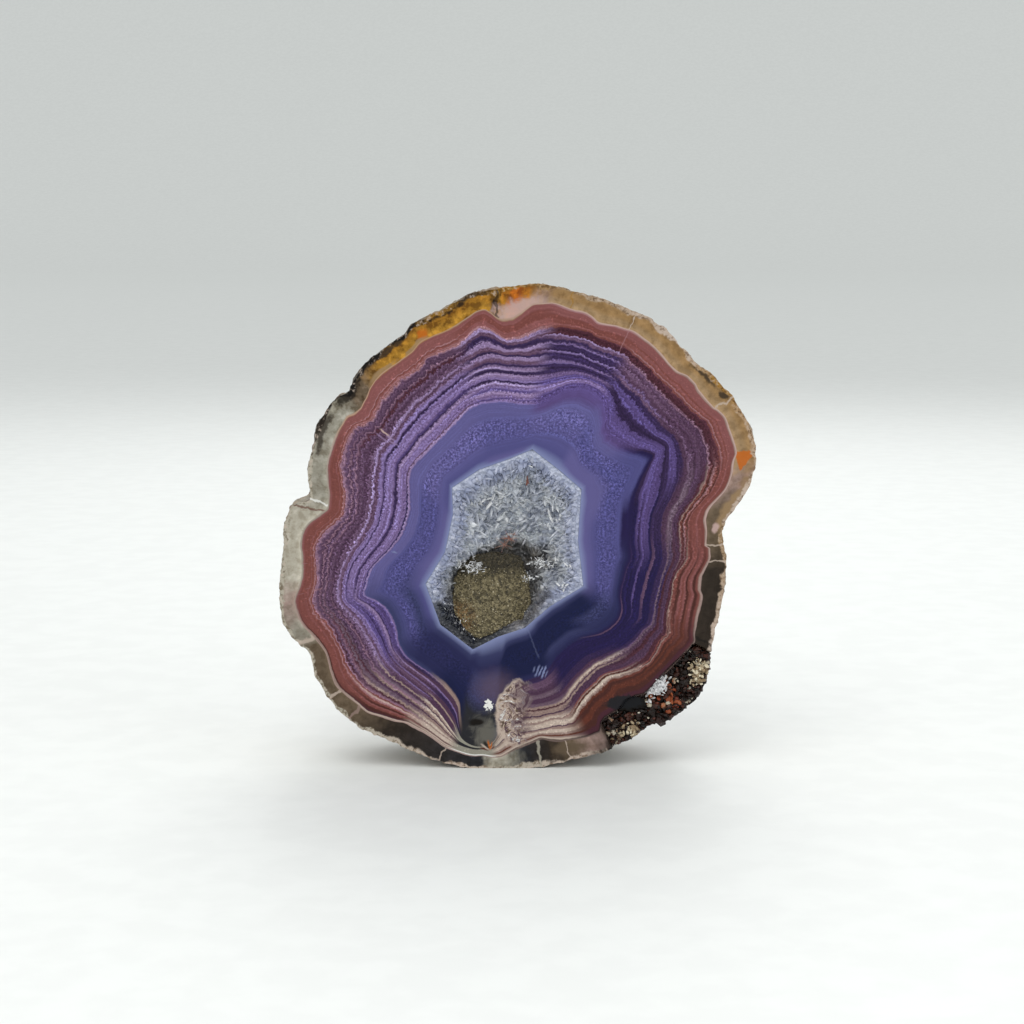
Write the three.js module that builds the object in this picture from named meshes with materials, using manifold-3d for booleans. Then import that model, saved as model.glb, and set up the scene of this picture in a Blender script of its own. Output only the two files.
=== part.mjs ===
// A thick slice of a banded agate nodule, standing on its worn lower edge.
// Units are millimetres. +X is to the right of the polished face, +Y runs from the polished face
// to the sawn back, and +Z is up. The origin is on the ground, under the middle of the slice.
import * as THREE from "three";
import { mergeVertices } from "three/addons/utils/BufferGeometryUtils.js";
import Module from "manifold-3d";

const wasm = await Module();
wasm.setup();

// The slice
const THICKNESS = 16;
const FACE_Y = -THICKNESS / 2;
const BACK_Y = THICKNESS / 2;
const HOLLOW_X = -1.12; // the middle of the hollow, from which the outlines are measured
const HOLLOW_Z = 26.7;

// The edge of the polished face: degrees anticlockwise from +X, and distance from the hollow's middle
const RIM = [
  [0, 26.7], [5, 26.4], [9, 27.0], [13, 29.1], [17, 31.0], [22, 32.7], [29, 33.5], [35, 33.5],
  [42, 33.2], [46, 32.8], [50, 33.1], [56, 33.7], [66, 33.4], [76, 33.2], [82, 33.4], [90, 32.8],
  [97, 32.4], [101, 31.6], [108, 30.8], [112, 30.6], [115, 29.9], [124, 29.3], [131, 28.5],
  [134, 27.9], [137, 28.5], [144, 28.3], [150, 27.4], [157, 26.5], [162, 25.4], [164, 25.2],
  [167, 27.0], [173, 27.6], [180, 27.5], [190, 28.5], [197, 28.9], [202, 28.3], [206, 27.4],
  [213, 28.1], [222, 28.5], [231, 28.1], [241, 27.3], [252, 27.2], [266, 27.0], [284, 26.8],
  [299, 27.5], [305, 27.9], [309, 27.8], [314, 29.0], [324, 29.6], [329, 29.0], [334, 27.9],
  [341, 27.1], [352, 26.9],
];
// The plainer edge of the smaller back
const BACK_RIM = [
  [0, 24.0], [24, 27.0], [48, 27.3], [70, 26.8], [92, 26.6], [115, 25.2], [140, 24.6], [165, 24.0],
  [188, 25.2], [212, 25.3], [236, 25.8], [258, 27.0], [284, 27.0], [303, 26.0], [322, 25.6], [342, 24.2],
];
const RIM_SEGMENTS = 126;

// The rind between face and back: share of the thickness, share of the way to the back's edge,
// and how far the rind swells out
const RIND = [
  [0, 0, 0], [0.05, 0.01, 0.06], [0.16, 0.05, 0.15], [0.3, 0.15, 0.25], [0.44, 0.3, 0.4],
  [0.58, 0.47, 0.5], [0.72, 0.65, 0.4], [0.85, 0.83, 0.2], [0.95, 0.95, 0.05], [1, 1, 0],
];
const RIND_RELIEF = 0.55;
const CHIPS = 14; // shallow angular bites, where grains have dropped out
const CHIP_RADIUS = [1.6, 3.0];
const CHIP_RISE = 0.6; // how far a chip's middle stands above the rind, as a share of its radius

// The corners of the hollow's mouth, as x and z from its middle
const HOLLOW = [
  [9.3, -3.8], [8.6, 1.9], [9.0, 8.2], [6.1, 10.7], [3.0, 13.1], [0.1, 11.9], [-3.5, 10.6],
  [-6.8, 8.4], [-6.7, 5.1], [-7.7, 0.4], [-10.1, -3.5], [-8.3, -8.6], [-4.3, -11.7],
  [-1.2, -10.1], [2.1, -9.0], [5.2, -6.3],
];
const HOLLOW_DEPTH = 10;
const HOLLOW_SEGMENTS = 44;
// Its wall from above the mouth to the floor: share of the depth, and size against the mouth
const HOLLOW_WALL = [[-0.2, 1], [0, 1], [0.25, 0.96], [0.55, 0.88], [0.8, 0.74], [0.94, 0.55], [1, 0.36]];

// The crust of quartz that lines the hollow, and the bowl that it leaves open
const GAP = 0.3; // to the floor of the hollow and to the plane of the face
const CRUST_SIZE = 0.96; // against the hollow
const BOWL_DEPTH = 7.6;
const BOWL_WALL = [
  [-0.2, 0.95], [0, 0.93], [0.15, 0.87], [0.35, 0.76], [0.55, 0.62], [0.75, 0.45], [0.9, 0.28], [1, 0.12],
];
const BOWL_DRIFT = [0.9, -1.2]; // how far the deepest place lies from the hollow's middle
const CRYSTALS = 108;
const CRYSTAL_RADIUS = [0.8, 1.4];
const CRYSTAL_LENGTH = [1.9, 3.0];
const CRYSTAL_SIDES = 6;
const ROOT_SHARE = 0.35; // of a crystal's length, grown into what carries it
// The mound of fine stained grains low in the hollow, from the hollow's middle and from the face
const MOUND = { x: -2.5, z: -5.6, depth: 5.2, halfWidth: 4.9, halfHeight: 4.4, halfDepth: 2.5 };

// The broken pocket of coarse crystals at the lower right of the rim: degrees and distance
const POCKET = [
  [297, 36], [298, 25.6], [302, 24.8], [308, 24.8], [312, 24.7], [315, 24.1], [320, 23.8],
  [326, 24.2], [331, 25.1], [334, 26.3], [335, 36],
];
const POCKET_DEPTH = 1.5;
// Its rounded lumps: degrees, distance and radius
const POCKET_LUMPS = [
  [300, 26.4, 1.2], [304, 27.0, 1.3], [317, 28.0, 1.4], [326, 28.2, 1.5], [330, 27.0, 1.2],
];
const POCKET_GRAINS = 24; // broken crystals
const POCKET_ARC = [299, 332];
const POCKET_REACH = [25.2, 28.4];
const POCKET_GRAIN_RADIUS = [0.7, 1.3];

const GOLDEN_TURN = 0.618034;

const radians = (angle) => (angle * Math.PI) / 180;
const mix = (a, b, share) => a + (b - a) * share;
const between = ([low, high], draw) => mix(low, high, draw);
const aboutHollow = (x, z) => new THREE.Vector3(x, 0, z);
const polar = ([angle, distance]) =>
  aboutHollow(distance * Math.cos(radians(angle)), distance * Math.sin(radians(angle)));

// The same draws each time the module is loaded
function seeded(seed) {
  let state = seed;
  return () => {
    state = (state * 1664525 + 1013904223) % 4294967296;
    return state / 4294967296;
  };
}

// The values that a list of [share, ...values] gives at a share, joined by straight lines
function along(list, share) {
  const next = Math.max(1, list.findIndex(([at]) => at >= share));
  const [[a, ...from], [b, ...to]] = [list[next - 1], list[next]];
  return from.map((value, i) => mix(value, to[i], (share - a) / (b - a)));
}

// A closed line through points, as evenly spaced points: tension 0 keeps its sides straight
function loop(points, count, tension) {
  return new THREE.CatmullRomCurve3(points, true, "catmullrom", tension).getSpacedPoints(count);
}

const rimLoop = loop(RIM.map(polar), RIM_SEGMENTS, 0.5);
const backLoop = loop(BACK_RIM.map(polar), RIM_SEGMENTS, 0.5);
const mouthLoop = loop(HOLLOW.map(([x, z]) => aboutHollow(x, z)), HOLLOW_SEGMENTS, 0);

// A closed barrel with one ring for each row. place(index, row, reach) gives a point: index counts
// round the ring, row counts from the front, and reach is 0 in the middle of an end and 1 on a ring
function barrel(segments, rows, place) {
  const geometry = new THREE.CylinderGeometry(1, 1, 1, segments, rows - 1);
  const position = geometry.attributes.position;
  for (let i = 0; i < position.count; i++) {
    const [x, y, z] = [position.getX(i), position.getY(i), position.getZ(i)];
    const index = Math.round((Math.atan2(x, z) / (2 * Math.PI) + 1) * segments) % segments;
    const row = Math.round((0.5 - y) * (rows - 1));
    const p = place(index, row, Math.hypot(x, z) > 0.5 ? 1 : 0);
    position.setXYZ(i, p.x, p.y, p.z);
  }
  return geometry;
}

function solid(geometry) {
  const bare = geometry.clone();
  bare.deleteAttribute("normal");
  bare.deleteAttribute("uv");
  const merged = mergeVertices(bare, 1e-4);
  const mesh = new wasm.Mesh({
    numProp: 3,
    vertProperties: new Float32Array(merged.attributes.position.array),
    triVerts: new Uint32Array(merged.index.array),
  });
  return new wasm.Manifold(mesh);
}

function geometryOf(made) {
  const { vertProperties, triVerts } = made.getMesh();
  const geometry = new THREE.BufferGeometry();
  geometry.setAttribute("position", new THREE.BufferAttribute(new Float32Array(vertProperties), 3));
  geometry.setIndex(new THREE.BufferAttribute(new Uint32Array(triVerts), 1));
  geometry.computeVertexNormals();
  return geometry;
}

// The lumps and creases of a weathered rind, from about -1 to 1
function relief({ x, y, z }) {
  const broad = Math.sin(x * 0.31 + 1.3) * Math.sin(y * 0.47 + 0.4) + Math.sin(z * 0.36 + x * 0.17);
  const creased = Math.abs(Math.sin(x * 0.55 + y * 0.31 + Math.sin(z * 0.43)) * Math.cos(z * 0.49 - y * 0.37));
  return 0.35 * broad + 0.6 - 1.2 * creased;
}

// A point of the rind, whose two flat ends stay true: index counts round it, and share runs back
function rindPoint(index, share) {
  const [narrowed, swell] = along(RIND, share);
  const p = rimLoop[index].clone().lerp(backLoop[index], narrowed);
  const outwards = p.clone().normalize();
  p.add(new THREE.Vector3(HOLLOW_X, mix(FACE_Y, BACK_Y, share), HOLLOW_Z));
  const rise = RIND_RELIEF * Math.sin(Math.PI * share) * relief(p);
  return p.addScaledVector(outwards, swell + rise);
}

function slab() {
  return barrel(RIM_SEGMENTS, RIND.length, (index, row, reach) => {
    const p = rindPoint(index, RIND[row][0]);
    return reach ? p : new THREE.Vector3(HOLLOW_X, p.y, HOLLOW_Z);
  });
}

// A space as wide as the mouth of the hollow that narrows to its floor, and may drift on the way
function bowl(wall, size, depth, drift = [0, 0]) {
  return barrel(HOLLOW_SEGMENTS, wall.length, (index, row, reach) => {
    const [share, narrowed] = wall[row];
    const p = mouthLoop[index].clone().multiplyScalar(reach * size * narrowed);
    p.addScaledVector(aboutHollow(...drift), Math.max(share, 0));
    return p.add(new THREE.Vector3(HOLLOW_X, FACE_Y + share * depth, HOLLOW_Z));
  });
}

// A quartz point: its six-sided termination, which grows out of place towards the open middle
function quartzPoint(place, towards, random) {
  const radius = between(CRYSTAL_RADIUS, random());
  const length = between(CRYSTAL_LENGTH, random());
  const crystal = new THREE.ConeGeometry(radius, length, CRYSTAL_SIDES);
  crystal.translate(0, (0.5 - ROOT_SHARE) * length, 0).rotateY(Math.PI * random());
  const turned = new THREE.Quaternion().setFromUnitVectors(new THREE.Vector3(0, 1, 0), towards);
  return crystal.applyQuaternion(turned).translate(place.x, place.y, place.z);
}

// A broken grain with flat faces
function grain(place, radius, random) {
  const turned = new THREE.Euler(Math.PI * random(), Math.PI * random(), 0);
  const block = new THREE.IcosahedronGeometry(radius, 0).scale(1, mix(0.7, 1, random()), 1);
  block.applyQuaternion(new THREE.Quaternion().setFromEuler(turned));
  return block.translate(place.x, place.y, place.z);
}

// Quartz points all over the bowl: near the mouth they lean inwards, and deep down they stand up
function crystals() {
  const random = seeded(11);
  return Array.from({ length: CRYSTALS }, (_, i) => {
    const share = 1 - Math.sqrt(1 - (i + 0.5) / CRYSTALS);
    const edge = mouthLoop[Math.floor(((i * GOLDEN_TURN) % 1) * HOLLOW_SEGMENTS)];
    const place = edge.clone().multiplyScalar(along(BOWL_WALL, share)[0]);
    place.addScaledVector(aboutHollow(...BOWL_DRIFT), share);
    place.add(new THREE.Vector3(HOLLOW_X, FACE_Y + share * BOWL_DEPTH, HOLLOW_Z));
    const inwards = edge.clone().normalize().multiplyScalar(share - 1);
    const sway = new THREE.Vector3(0.4 * (random() - 0.5), -0.5 - share, 0.4 * (random() - 0.5));
    return quartzPoint(place, inwards.add(sway).normalize(), random);
  });
}

function mound() {
  const lump = new THREE.IcosahedronGeometry(1, 2);
  const position = lump.attributes.position;
  for (let i = 0; i < position.count; i++) {
    const p = new THREE.Vector3().fromBufferAttribute(position, i);
    p.multiplyScalar(1 + 0.07 * Math.sin(5 * p.x + 2) * Math.cos(4 * p.z + 1));
    position.setXYZ(i, p.x * MOUND.halfWidth, p.y * MOUND.halfDepth, p.z * MOUND.halfHeight);
  }
  return lump.translate(HOLLOW_X + MOUND.x, FACE_Y + MOUND.depth, HOLLOW_Z + MOUND.z);
}

function crust() {
  const behindFace = new THREE.BoxGeometry(60, THICKNESS, 60);
  behindFace.translate(HOLLOW_X, GAP, HOLLOW_Z);
  const outside = solid(bowl(HOLLOW_WALL, CRUST_SIZE, HOLLOW_DEPTH - GAP)).intersect(solid(behindFace));
  const inside = solid(bowl(BOWL_WALL, 1, BOWL_DEPTH, BOWL_DRIFT));
  const grown = [...crystals(), mound()].map(solid);
  return grown.reduce((made, piece) => made.add(piece), outside.subtract(inside)).intersect(outside);
}

// The sunken ground of the rim's pocket
function pocketSpace() {
  const outline = new THREE.Shape(POCKET.map(polar).map((p) => new THREE.Vector2(p.x, p.z)));
  const cut = new THREE.ExtrudeGeometry(outline, { depth: 2 * POCKET_DEPTH, bevelEnabled: false });
  return cut.rotateX(Math.PI / 2).translate(HOLLOW_X, FACE_Y + POCKET_DEPTH, HOLLOW_Z);
}

// The lumps and broken grains that stand in the pocket
function pocketFilling() {
  const random = seeded(29);
  const ground = new THREE.Vector3(HOLLOW_X, FACE_Y + POCKET_DEPTH, HOLLOW_Z);
  const lumps = POCKET_LUMPS.map(([angle, distance, radius]) => {
    const p = polar([angle, distance]).add(ground);
    return new THREE.IcosahedronGeometry(radius, 1).translate(p.x, p.y, p.z);
  });
  const grains = Array.from({ length: POCKET_GRAINS }, (_, i) => {
    const angle = between(POCKET_ARC, (i + 0.5) / POCKET_GRAINS);
    const place = polar([angle, between(POCKET_REACH, random())]).add(ground);
    return grain(place, between(POCKET_GRAIN_RADIUS, random()), random);
  });
  return [...lumps, ...grains];
}

function chips() {
  const random = seeded(5);
  return Array.from({ length: CHIPS }, (_, i) => {
    const index = Math.floor(((i + random()) / CHIPS) * RIM_SEGMENTS);
    const radius = between(CHIP_RADIUS, random());
    const place = rindPoint(index, mix(0.2, 0.85, random()));
    place.addScaledVector(rimLoop[index].clone().normalize(), CHIP_RISE * radius);
    return grain(place, radius, random);
  });
}

function agate() {
  const whole = solid(slab());
  const ground = new THREE.BoxGeometry(80, 40, 20).translate(0, 0, -10);
  const cuts = [bowl(HOLLOW_WALL, 1, HOLLOW_DEPTH), pocketSpace(), ...chips(), ground];
  const cut = cuts.map(solid).reduce((made, piece) => made.subtract(piece), whole);
  const filling = pocketFilling().map(solid).map((piece) => piece.intersect(whole));
  return filling.reduce((made, piece) => made.add(piece), cut);
}

function named(name, made, material) {
  const mesh = new THREE.Mesh(geometryOf(made), new THREE.MeshStandardMaterial(material));
  mesh.name = name;
  return mesh;
}

const slice = new THREE.Group();
slice.add(named("agate", agate(), { color: 0x6a4a72, roughness: 0.25, metalness: 0 }));
slice.add(named("quartz_crust", crust(), { color: 0xb9bcc6, roughness: 0.15, metalness: 0 }));
export default slice;
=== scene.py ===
"""A thick slice of a banded agate nodule with a hollow of quartz points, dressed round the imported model.

The lists below hold millimetres and degrees: an angle is anticlockwise from +X about the middle of the
hollow, and a distance is from there. Meshes are in metres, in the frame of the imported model.
"""

import math
import random

import bmesh
import bpy
import numpy as np
from bpy.props import FloatProperty, FloatVectorProperty, IntProperty, PointerProperty
from mathutils import Matrix, Vector, noise


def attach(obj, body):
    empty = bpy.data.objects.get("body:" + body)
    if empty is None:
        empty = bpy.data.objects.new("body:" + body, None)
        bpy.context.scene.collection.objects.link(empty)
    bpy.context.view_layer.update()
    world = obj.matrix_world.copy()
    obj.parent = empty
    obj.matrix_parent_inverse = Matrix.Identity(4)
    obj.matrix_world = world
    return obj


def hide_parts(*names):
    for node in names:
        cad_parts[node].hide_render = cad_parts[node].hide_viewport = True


bl_info = {
    "name": "Banded Agate Slice",
    "version": (1, 0, 0),
    "blender": (4, 5, 0),
    "location": "3D View > Sidebar > Agate",
    "description": "Builds a polished agate slice with a quartz hollow round its packed model",
    "category": "Add Mesh",
}

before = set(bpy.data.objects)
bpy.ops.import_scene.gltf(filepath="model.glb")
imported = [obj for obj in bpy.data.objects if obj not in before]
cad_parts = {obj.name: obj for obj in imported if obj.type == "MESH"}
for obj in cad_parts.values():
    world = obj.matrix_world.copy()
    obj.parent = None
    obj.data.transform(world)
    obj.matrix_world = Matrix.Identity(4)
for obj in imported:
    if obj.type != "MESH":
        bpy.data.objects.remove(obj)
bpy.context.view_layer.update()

MM = 0.001
FACE_Y = -8.0
BACK_Y = 8.0
HOLLOW_X = -1.12
HOLLOW_Z = 26.7
HOLLOW_DEPTH = 10.0


def table(text):
    """Pairs from text: a number, and then a number or the name of a colour"""
    pairs = [pair.split() for pair in text.split(",")]
    return [(float(at), shown if shown[0].isalpha() else float(shown)) for at, shown in pairs]


# The outlines of the polished face and of the smaller back
RIM = table("""
    0 26.7, 5 26.4, 9 27, 13 29.1, 17 31, 22 32.7, 29 33.5, 35 33.5, 42 33.2, 46 32.8, 50 33.1, 56 33.7,
    66 33.4, 76 33.2, 82 33.4, 90 32.8, 97 32.4, 101 31.6, 108 30.8, 112 30.6, 115 29.9, 124 29.3,
    131 28.5, 134 27.9, 137 28.5, 144 28.3, 150 27.4, 157 26.5, 162 25.4, 164 25.2, 167 27, 173 27.6,
    180 27.5, 190 28.5, 197 28.9, 202 28.3, 206 27.4, 213 28.1, 222 28.5, 231 28.1, 241 27.3, 252 27.2,
    266 27, 284 26.8, 299 27.5, 305 27.9, 309 27.8, 314 29, 324 29.6, 329 29, 334 27.9, 341 27.1,
    352 26.9
""")
BACK_RIM = table("""
    0 24, 24 27, 48 27.3, 70 26.8, 92 26.6, 115 25.2, 140 24.6, 165 24, 188 25.2, 212 25.3, 236 25.8,
    258 27, 284 27, 303 26, 322 25.6, 342 24.2
""")

# Four growth lines of the stone, from the rind inwards
WHITE_LINE = table("""
    0 24.7, 2 24.7, 3 24.2, 5 24.3, 8 24.4, 10 24.4, 12.5 24.8, 14 25.4, 15 26.1, 17.5 27.9, 20 28.9,
    23 29.8, 24.5 30.5, 26 30.7, 30 31, 33 31.3, 35 31.1, 36 30.8, 39 30.6, 41 30.6, 43 30.9, 45 30.9,
    48 30.4, 50 30.5, 54 30.9, 57 31.1, 61 31.2, 63 31, 65 30.9, 67 30.6, 69 30.4, 71 30.8, 73 31,
    75 30.9, 77 31, 80 31.2, 82 31, 84 30.8, 85.5 30.2, 87 29.4, 89 28.7, 91 28.6, 92.5 28.9, 94 29.6,
    95.5 30.1, 97 30, 99 29.5, 101 29, 103 28.6, 105 28.4, 109 28.2, 112 28, 115 27.4, 120 27, 125 26.8,
    129 26.4, 131 25.9, 133 25.6, 135 25.3, 137 25.4, 139 25.8, 141 25.7, 145 25.4, 150 24.9, 153 24.6,
    155 24.2, 158 23.6, 161 23, 163 22.8, 165 22.7, 168 23.5, 171 24.6, 174 25.2, 177 25.3, 180 25.1,
    183 25.1, 186 25.3, 189 25.9, 191 26.5, 193 26.8, 196 26.8, 199 26.6, 201 26.2, 204 25.7, 208 25.4,
    211 25.7, 214 26.2, 218 26.6, 220 26.5, 224 26.2, 228 26.1, 232 25.4, 236 24.8, 240 24.3, 244 24.3,
    248 24.6, 252 25.1, 256 25.3, 260 25.4, 263 25.2, 266 25.3, 268 25.2, 270 24.7, 273 24, 277 23.5,
    280 23.2, 283 23.6, 287 24.1, 291 24.4, 295 24.7, 297 24.7, 299 23.8, 301 23.5, 305 23.5, 309 23.1,
    312 23.5, 315 24.1, 320 24.1, 325 24.3, 330 24.8, 333 25.2, 335 25.3, 337 24.9, 340 24.6, 344 24.4,
    348 24.3, 350 23.8, 353 23.7, 356 24.1
""")
ROSE_EDGE = table("""
    0 22, 5 22.1, 10 22.3, 13 23, 16 24.7, 18 26.1, 20 27, 23 28.1, 25 28.5, 28 28.9, 30 29, 33 29.3,
    36 29, 40 28.6, 45 28.4, 50 28.5, 55 28.8, 59 29, 62 29.1, 65 28.9, 68 28.8, 70 29, 73 28.8, 76 28.6,
    80 28.3, 82 27.9, 85 27, 88 26.5, 90 26.4, 93 27.2, 95 27.8, 97 28.1, 99 27.7, 101 27, 104 26.4,
    108 26.2, 112 26, 115 25.4, 118 25.2, 122 25.1, 126 24.7, 130 24.2, 133 23.7, 135 23.5, 137 23.7,
    139 24.2, 142 24.3, 145 24, 150 23.3, 153 22.7, 156 21.7, 159 21.1, 162 20.8, 165 20.7, 168 21,
    170 21.6, 172 22.3, 175 23.1, 178 23.5, 182 23.5, 187 23.6, 190 24, 192 24.4, 195 24.6, 197 24.4,
    200 23.8, 203 23.5, 207 23.5, 211 23.6, 215 24, 220 24.1, 225 24, 228 23.7, 232 23.3, 236 23.1,
    240 23.1, 244 23.3, 248 23.7, 252 24.2, 256 24.6, 260 24.7, 264 24.4, 267 23.5, 269 22.5, 272 22,
    276 21.9, 280 21.9, 285 21.7, 289 22, 291 22, 293 21.6, 296 20.7, 300 20.1, 305 19.8, 308 19.6,
    311 19.9, 314 20.5, 317 21.1, 320 21.4, 325 21.7, 330 21.5, 334 21.8, 337 21.3, 341 20.9, 345 20.8,
    350 20.6, 354 20.9, 357 21.6
""")
PLUM_EDGE = table("""
    0 19.5, 5 19.4, 10 19.5, 15 20.1, 20 22, 25 23.7, 30 24.7, 35 25.1, 40 24.8, 45 24.7, 50 25.1,
    55 25.4, 60 25.6, 65 25.4, 70 25.4, 75 25.2, 80 24.7, 85 24.3, 90 24.3, 95 24.7, 100 24.2, 105 23.5,
    110 22.8, 115 22.1, 120 21.6, 125 21.1, 130 20.6, 135 20.1, 140 20.1, 145 19.5, 150 18.8, 155 18,
    160 17.7, 165 17.5, 170 17.9, 175 18.5, 180 19.5, 185 20.4, 190 21, 195 21.4, 200 20.7, 205 20.1,
    210 20, 215 20.1, 220 20.4, 225 20.5, 230 20.4, 235 20.5, 240 20.6, 245 21.2, 250 22.3, 253 23.2,
    256 24, 260 24.4, 264 24.1, 266 23.2, 268 21.2, 270 19.8, 275 19.1, 280 19.3, 285 19.4, 290 19.3,
    295 18.5, 300 17.8, 305 17.5, 308 17.4, 312 17.7, 317 18.1, 322 18.5, 327 18.9, 331 19.1, 334 19.5,
    338 19.3, 342 19, 347 18.9, 352 19, 356 19.3
""")
BLUE_EDGE = table("""
    0 15.2, 5 15.1, 10 15.3, 15 15.7, 20 16.2, 25 17, 30 18.8, 33 20.4, 35 21.5, 37 21.1, 40 20.1,
    43 19.5, 47 19.1, 50 19, 53 19.5, 56 21.2, 59 22.2, 62 22.6, 65 22.6, 68 22.1, 70 21.7, 73 20.6,
    76 19.5, 80 18.8, 85 18.6, 90 18.8, 95 18.9, 100 18.8, 105 18.5, 108 18, 112 17.4, 116 16.9,
    120 16.5, 125 16.2, 130 16, 135 15.9, 138 15.8, 141 15.4, 145 14.6, 150 13.8, 155 13.2, 160 13,
    165 13, 170 13.3, 175 14, 180 15.1, 183 16, 186 16.8, 190 17.4, 193 17.9, 195.5 18.3, 198 17.5,
    200 16.9, 203 16.4, 207 16.2, 211 16.3, 215 16.7, 218 17.2, 221 17.5, 225 17.7, 230 17.6, 235 17.5,
    240 17.7, 245 18.1, 249 18.8, 252 19.8, 254 21.6, 256 23.2, 258 23.8, 261 24.1, 264 23.8, 266 23.1,
    267.5 20.4, 269 17.3, 271 16.2, 275 15.6, 280 15.4, 285 15.3, 290 14.6, 295 13.8, 300 13.5, 306 13.3,
    311 13.6, 316 14.4, 320 15.1, 325 15.6, 330 15.8, 334 15.6, 340 14.8, 345 14.6, 350 14.6, 355 14.8
""")

# The corners of the hollow's mouth, as x and z from its middle, and its wall from mouth to floor:
# share of the depth, and size against the mouth
MOUTH = table("""
    9.3 -3.8, 8.6 1.9, 9 8.2, 6.1 10.7, 3 13.1, 0.1 11.9, -3.5 10.6, -6.8 8.4, -6.7 5.1, -7.7 0.4,
    -10.1 -3.5, -8.3 -8.6, -4.3 -11.7, -1.2 -10.1, 2.1 -9, 5.2 -6.3
""")
WALL = table("""
    0 1, 0.05 0.99, 0.25 0.96, 0.55 0.88, 0.8 0.74, 0.94 0.55, 1 0.36, 1 0
""")
# The bowl that the quartz leaves open
BOWL_DEPTH = 7.6
BOWL = table("""
    0 0.93, 0.15 0.87, 0.35 0.76, 0.55 0.62, 0.75 0.45, 0.9 0.28, 1 0.12, 1 0
""")
BOWL_DRIFT = (0.9, -1.2)
MOUTH_GAP = 0.03
FLOOR_GAP = 0.33
DRUSE_COLUMNS = 240

# The side of the slice: share of the thickness, share of the way to the back's outline, and swell
RIND = [
    (0, 0, 0), (0.05, 0.01, 0.06), (0.16, 0.05, 0.15), (0.3, 0.15, 0.25), (0.44, 0.3, 0.4),
    (0.58, 0.47, 0.5), (0.72, 0.65, 0.4), (0.85, 0.83, 0.2), (0.95, 0.95, 0.05), (1, 1, 0),
]
RIND_ROWS = [
    0, 0.004, 0.012, 0.028, 0.05, 0.08, 0.115, 0.15, 0.19, 0.23, 0.27, 0.315, 0.36, 0.41, 0.46, 0.51,
    0.56, 0.61, 0.66, 0.71, 0.76, 0.81, 0.86, 0.905, 0.945, 0.975, 1,
]
CHIPS = 14

# How deep under the rind each growth line counts, whatever the width of the bands there
RIM_DEPTH, WHITE_DEPTH, ROSE_DEPTH, PLUM_DEPTH, BLUE_DEPTH, MOUTH_DEPTH = 0.0, 2.4, 5.0, 8.0, 12.8, 19.4

# The broken pocket at the lower right of the rim
POCKET_ARC = (298.0, 334.5)
POCKET_DEPTH = 1.5

# The mound of stained grains low in the hollow
MOUND_MIDDLE = (-3.3, -5.5, 21.1)
MOUND_HALF = (4.7, 1.5, 5.3)
MOUND_LEAN = 1.4
MOUND_OUTLINE = table("""
    8 1.03, 50 1.18, 75 1.02, 100 1, 138 1.07, 166 1.03, 208 1.05, 230 1.02, 252 1.1, 270 0.95, 289 0.86,
    310 0.93, 328 1.04
""")

# Tufts of white points, and pale shards and points that double as painted glints: place, spread, count,
# length and darkest tint
WHITE_TUFTS_AND_GLINTS = [
    ((-5.2, -6.7, 25.2), 0.6, 90, 0.45, 0.1), ((-6.8, -6.8, 25.5), 0.4, 40, 0.4, 0.1),
    ((2.6, -6.4, 25.5), 0.5, 90, 0.45, 0.1), ((3.9, -6.6, 25.6), 0.7, 60, 0.45, 0.0),
    ((1.5, -6.8, 23.8), 0.4, 35, 0.4, 0.1),
    # From here on, shards and short points set where the quartz glints: painted highlights as well as
    # crystals
    ((-5.1, -5.5, 33.0), 0.7, 16, 1.1, 0.6), ((-3.1, -5.2, 33.7), 0.7, 14, 1.0, 0.6),
    ((4.7, -4.7, 30.6), 0.6, 12, 1.0, 0.7),
    ((-2.0, -6.0, 35.4), 0.8, 14, 0.6, 0.7), ((1.9, -7.4, 38.5), 0.8, 14, 0.5, 0.6),
    ((7.3, -7.3, 25.5), 0.6, 26, 0.6, 0.6),
    ((6.1, -7.4, 22.4), 0.5, 22, 0.6, 0.6), ((-10.3, -7.6, 23.2), 0.3, 14, 0.5, 0.7),
    ((-7.6, -7.4, 18.1), 0.7, 22, 0.35, 0.6),
    ((-5.4, -7.6, 15.6), 0.5, 18, 0.35, 0.6), ((-9.0, -7.5, 20.6), 0.6, 16, 0.35, 0.6),
]

# The red needles of the mound: root, count and length. The spikes: root, direction and length
NEEDLES = [((-0.9, -5.0, 28.4), 22, 1.3), ((-0.4, -4.8, 28.9), 9, 0.8), ((-1.6, -4.8, 27.6), 8, 1.3)]
SPIKES = [((1.2, -6.5, 35.2), (0.05, 0.0, 1.0), 1.6), ((1.4, -6.4, 35.4), (-0.1, 0.0, 1.0), 1.0)]

# What fills the rim's pocket. Lumps: angle, distance, spread and count
POCKET_GRAINS = 900
POCKET_GRAIN_ARC = (298.8, 333.5)
POCKET_POINTS = 260
POCKET_LENS = (14.7, -18.6)
POCKET_LENS_HALF = (2.3, 1.3)
POCKET_LUMPS = [
    (329.0, 27.7, 0.55, 200), (305.2, 27.0, 0.5, 130), (326.5, 28.2, 0.45, 90), (301.5, 26.6, 0.35, 40),
]

GOLDEN_TURN = 0.618034
DRUSE_SEED, MOUND_SEED, POCKET_SEED, CHIP_SEED = 4, 7, 19, 5
FLOOR_HALF = 2.5
SWEEP_RADIUS = 1.5
# Name, place, size, power and colour of each light
LIGHTS = [
    ("key_light", (-0.12, -0.30, 0.42), 0.35, 1.0, (1.0, 0.99, 0.97)),
    ("fill_light", (0.42, -0.32, 0.22), 0.4, 0.45, (0.97, 0.98, 1.0)),
    ("back_light", (0.05, 0.34, 0.38), 0.3, 0.8, (1.0, 1.0, 1.0)),
]
CAMERA_AIM = (-0.6, -8.0, 32.1)
CAMERA_DISTANCE = 0.269

COLUMNS = 1080
ANGLES = np.linspace(0.0, 360.0, COLUMNS + 1)

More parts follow.
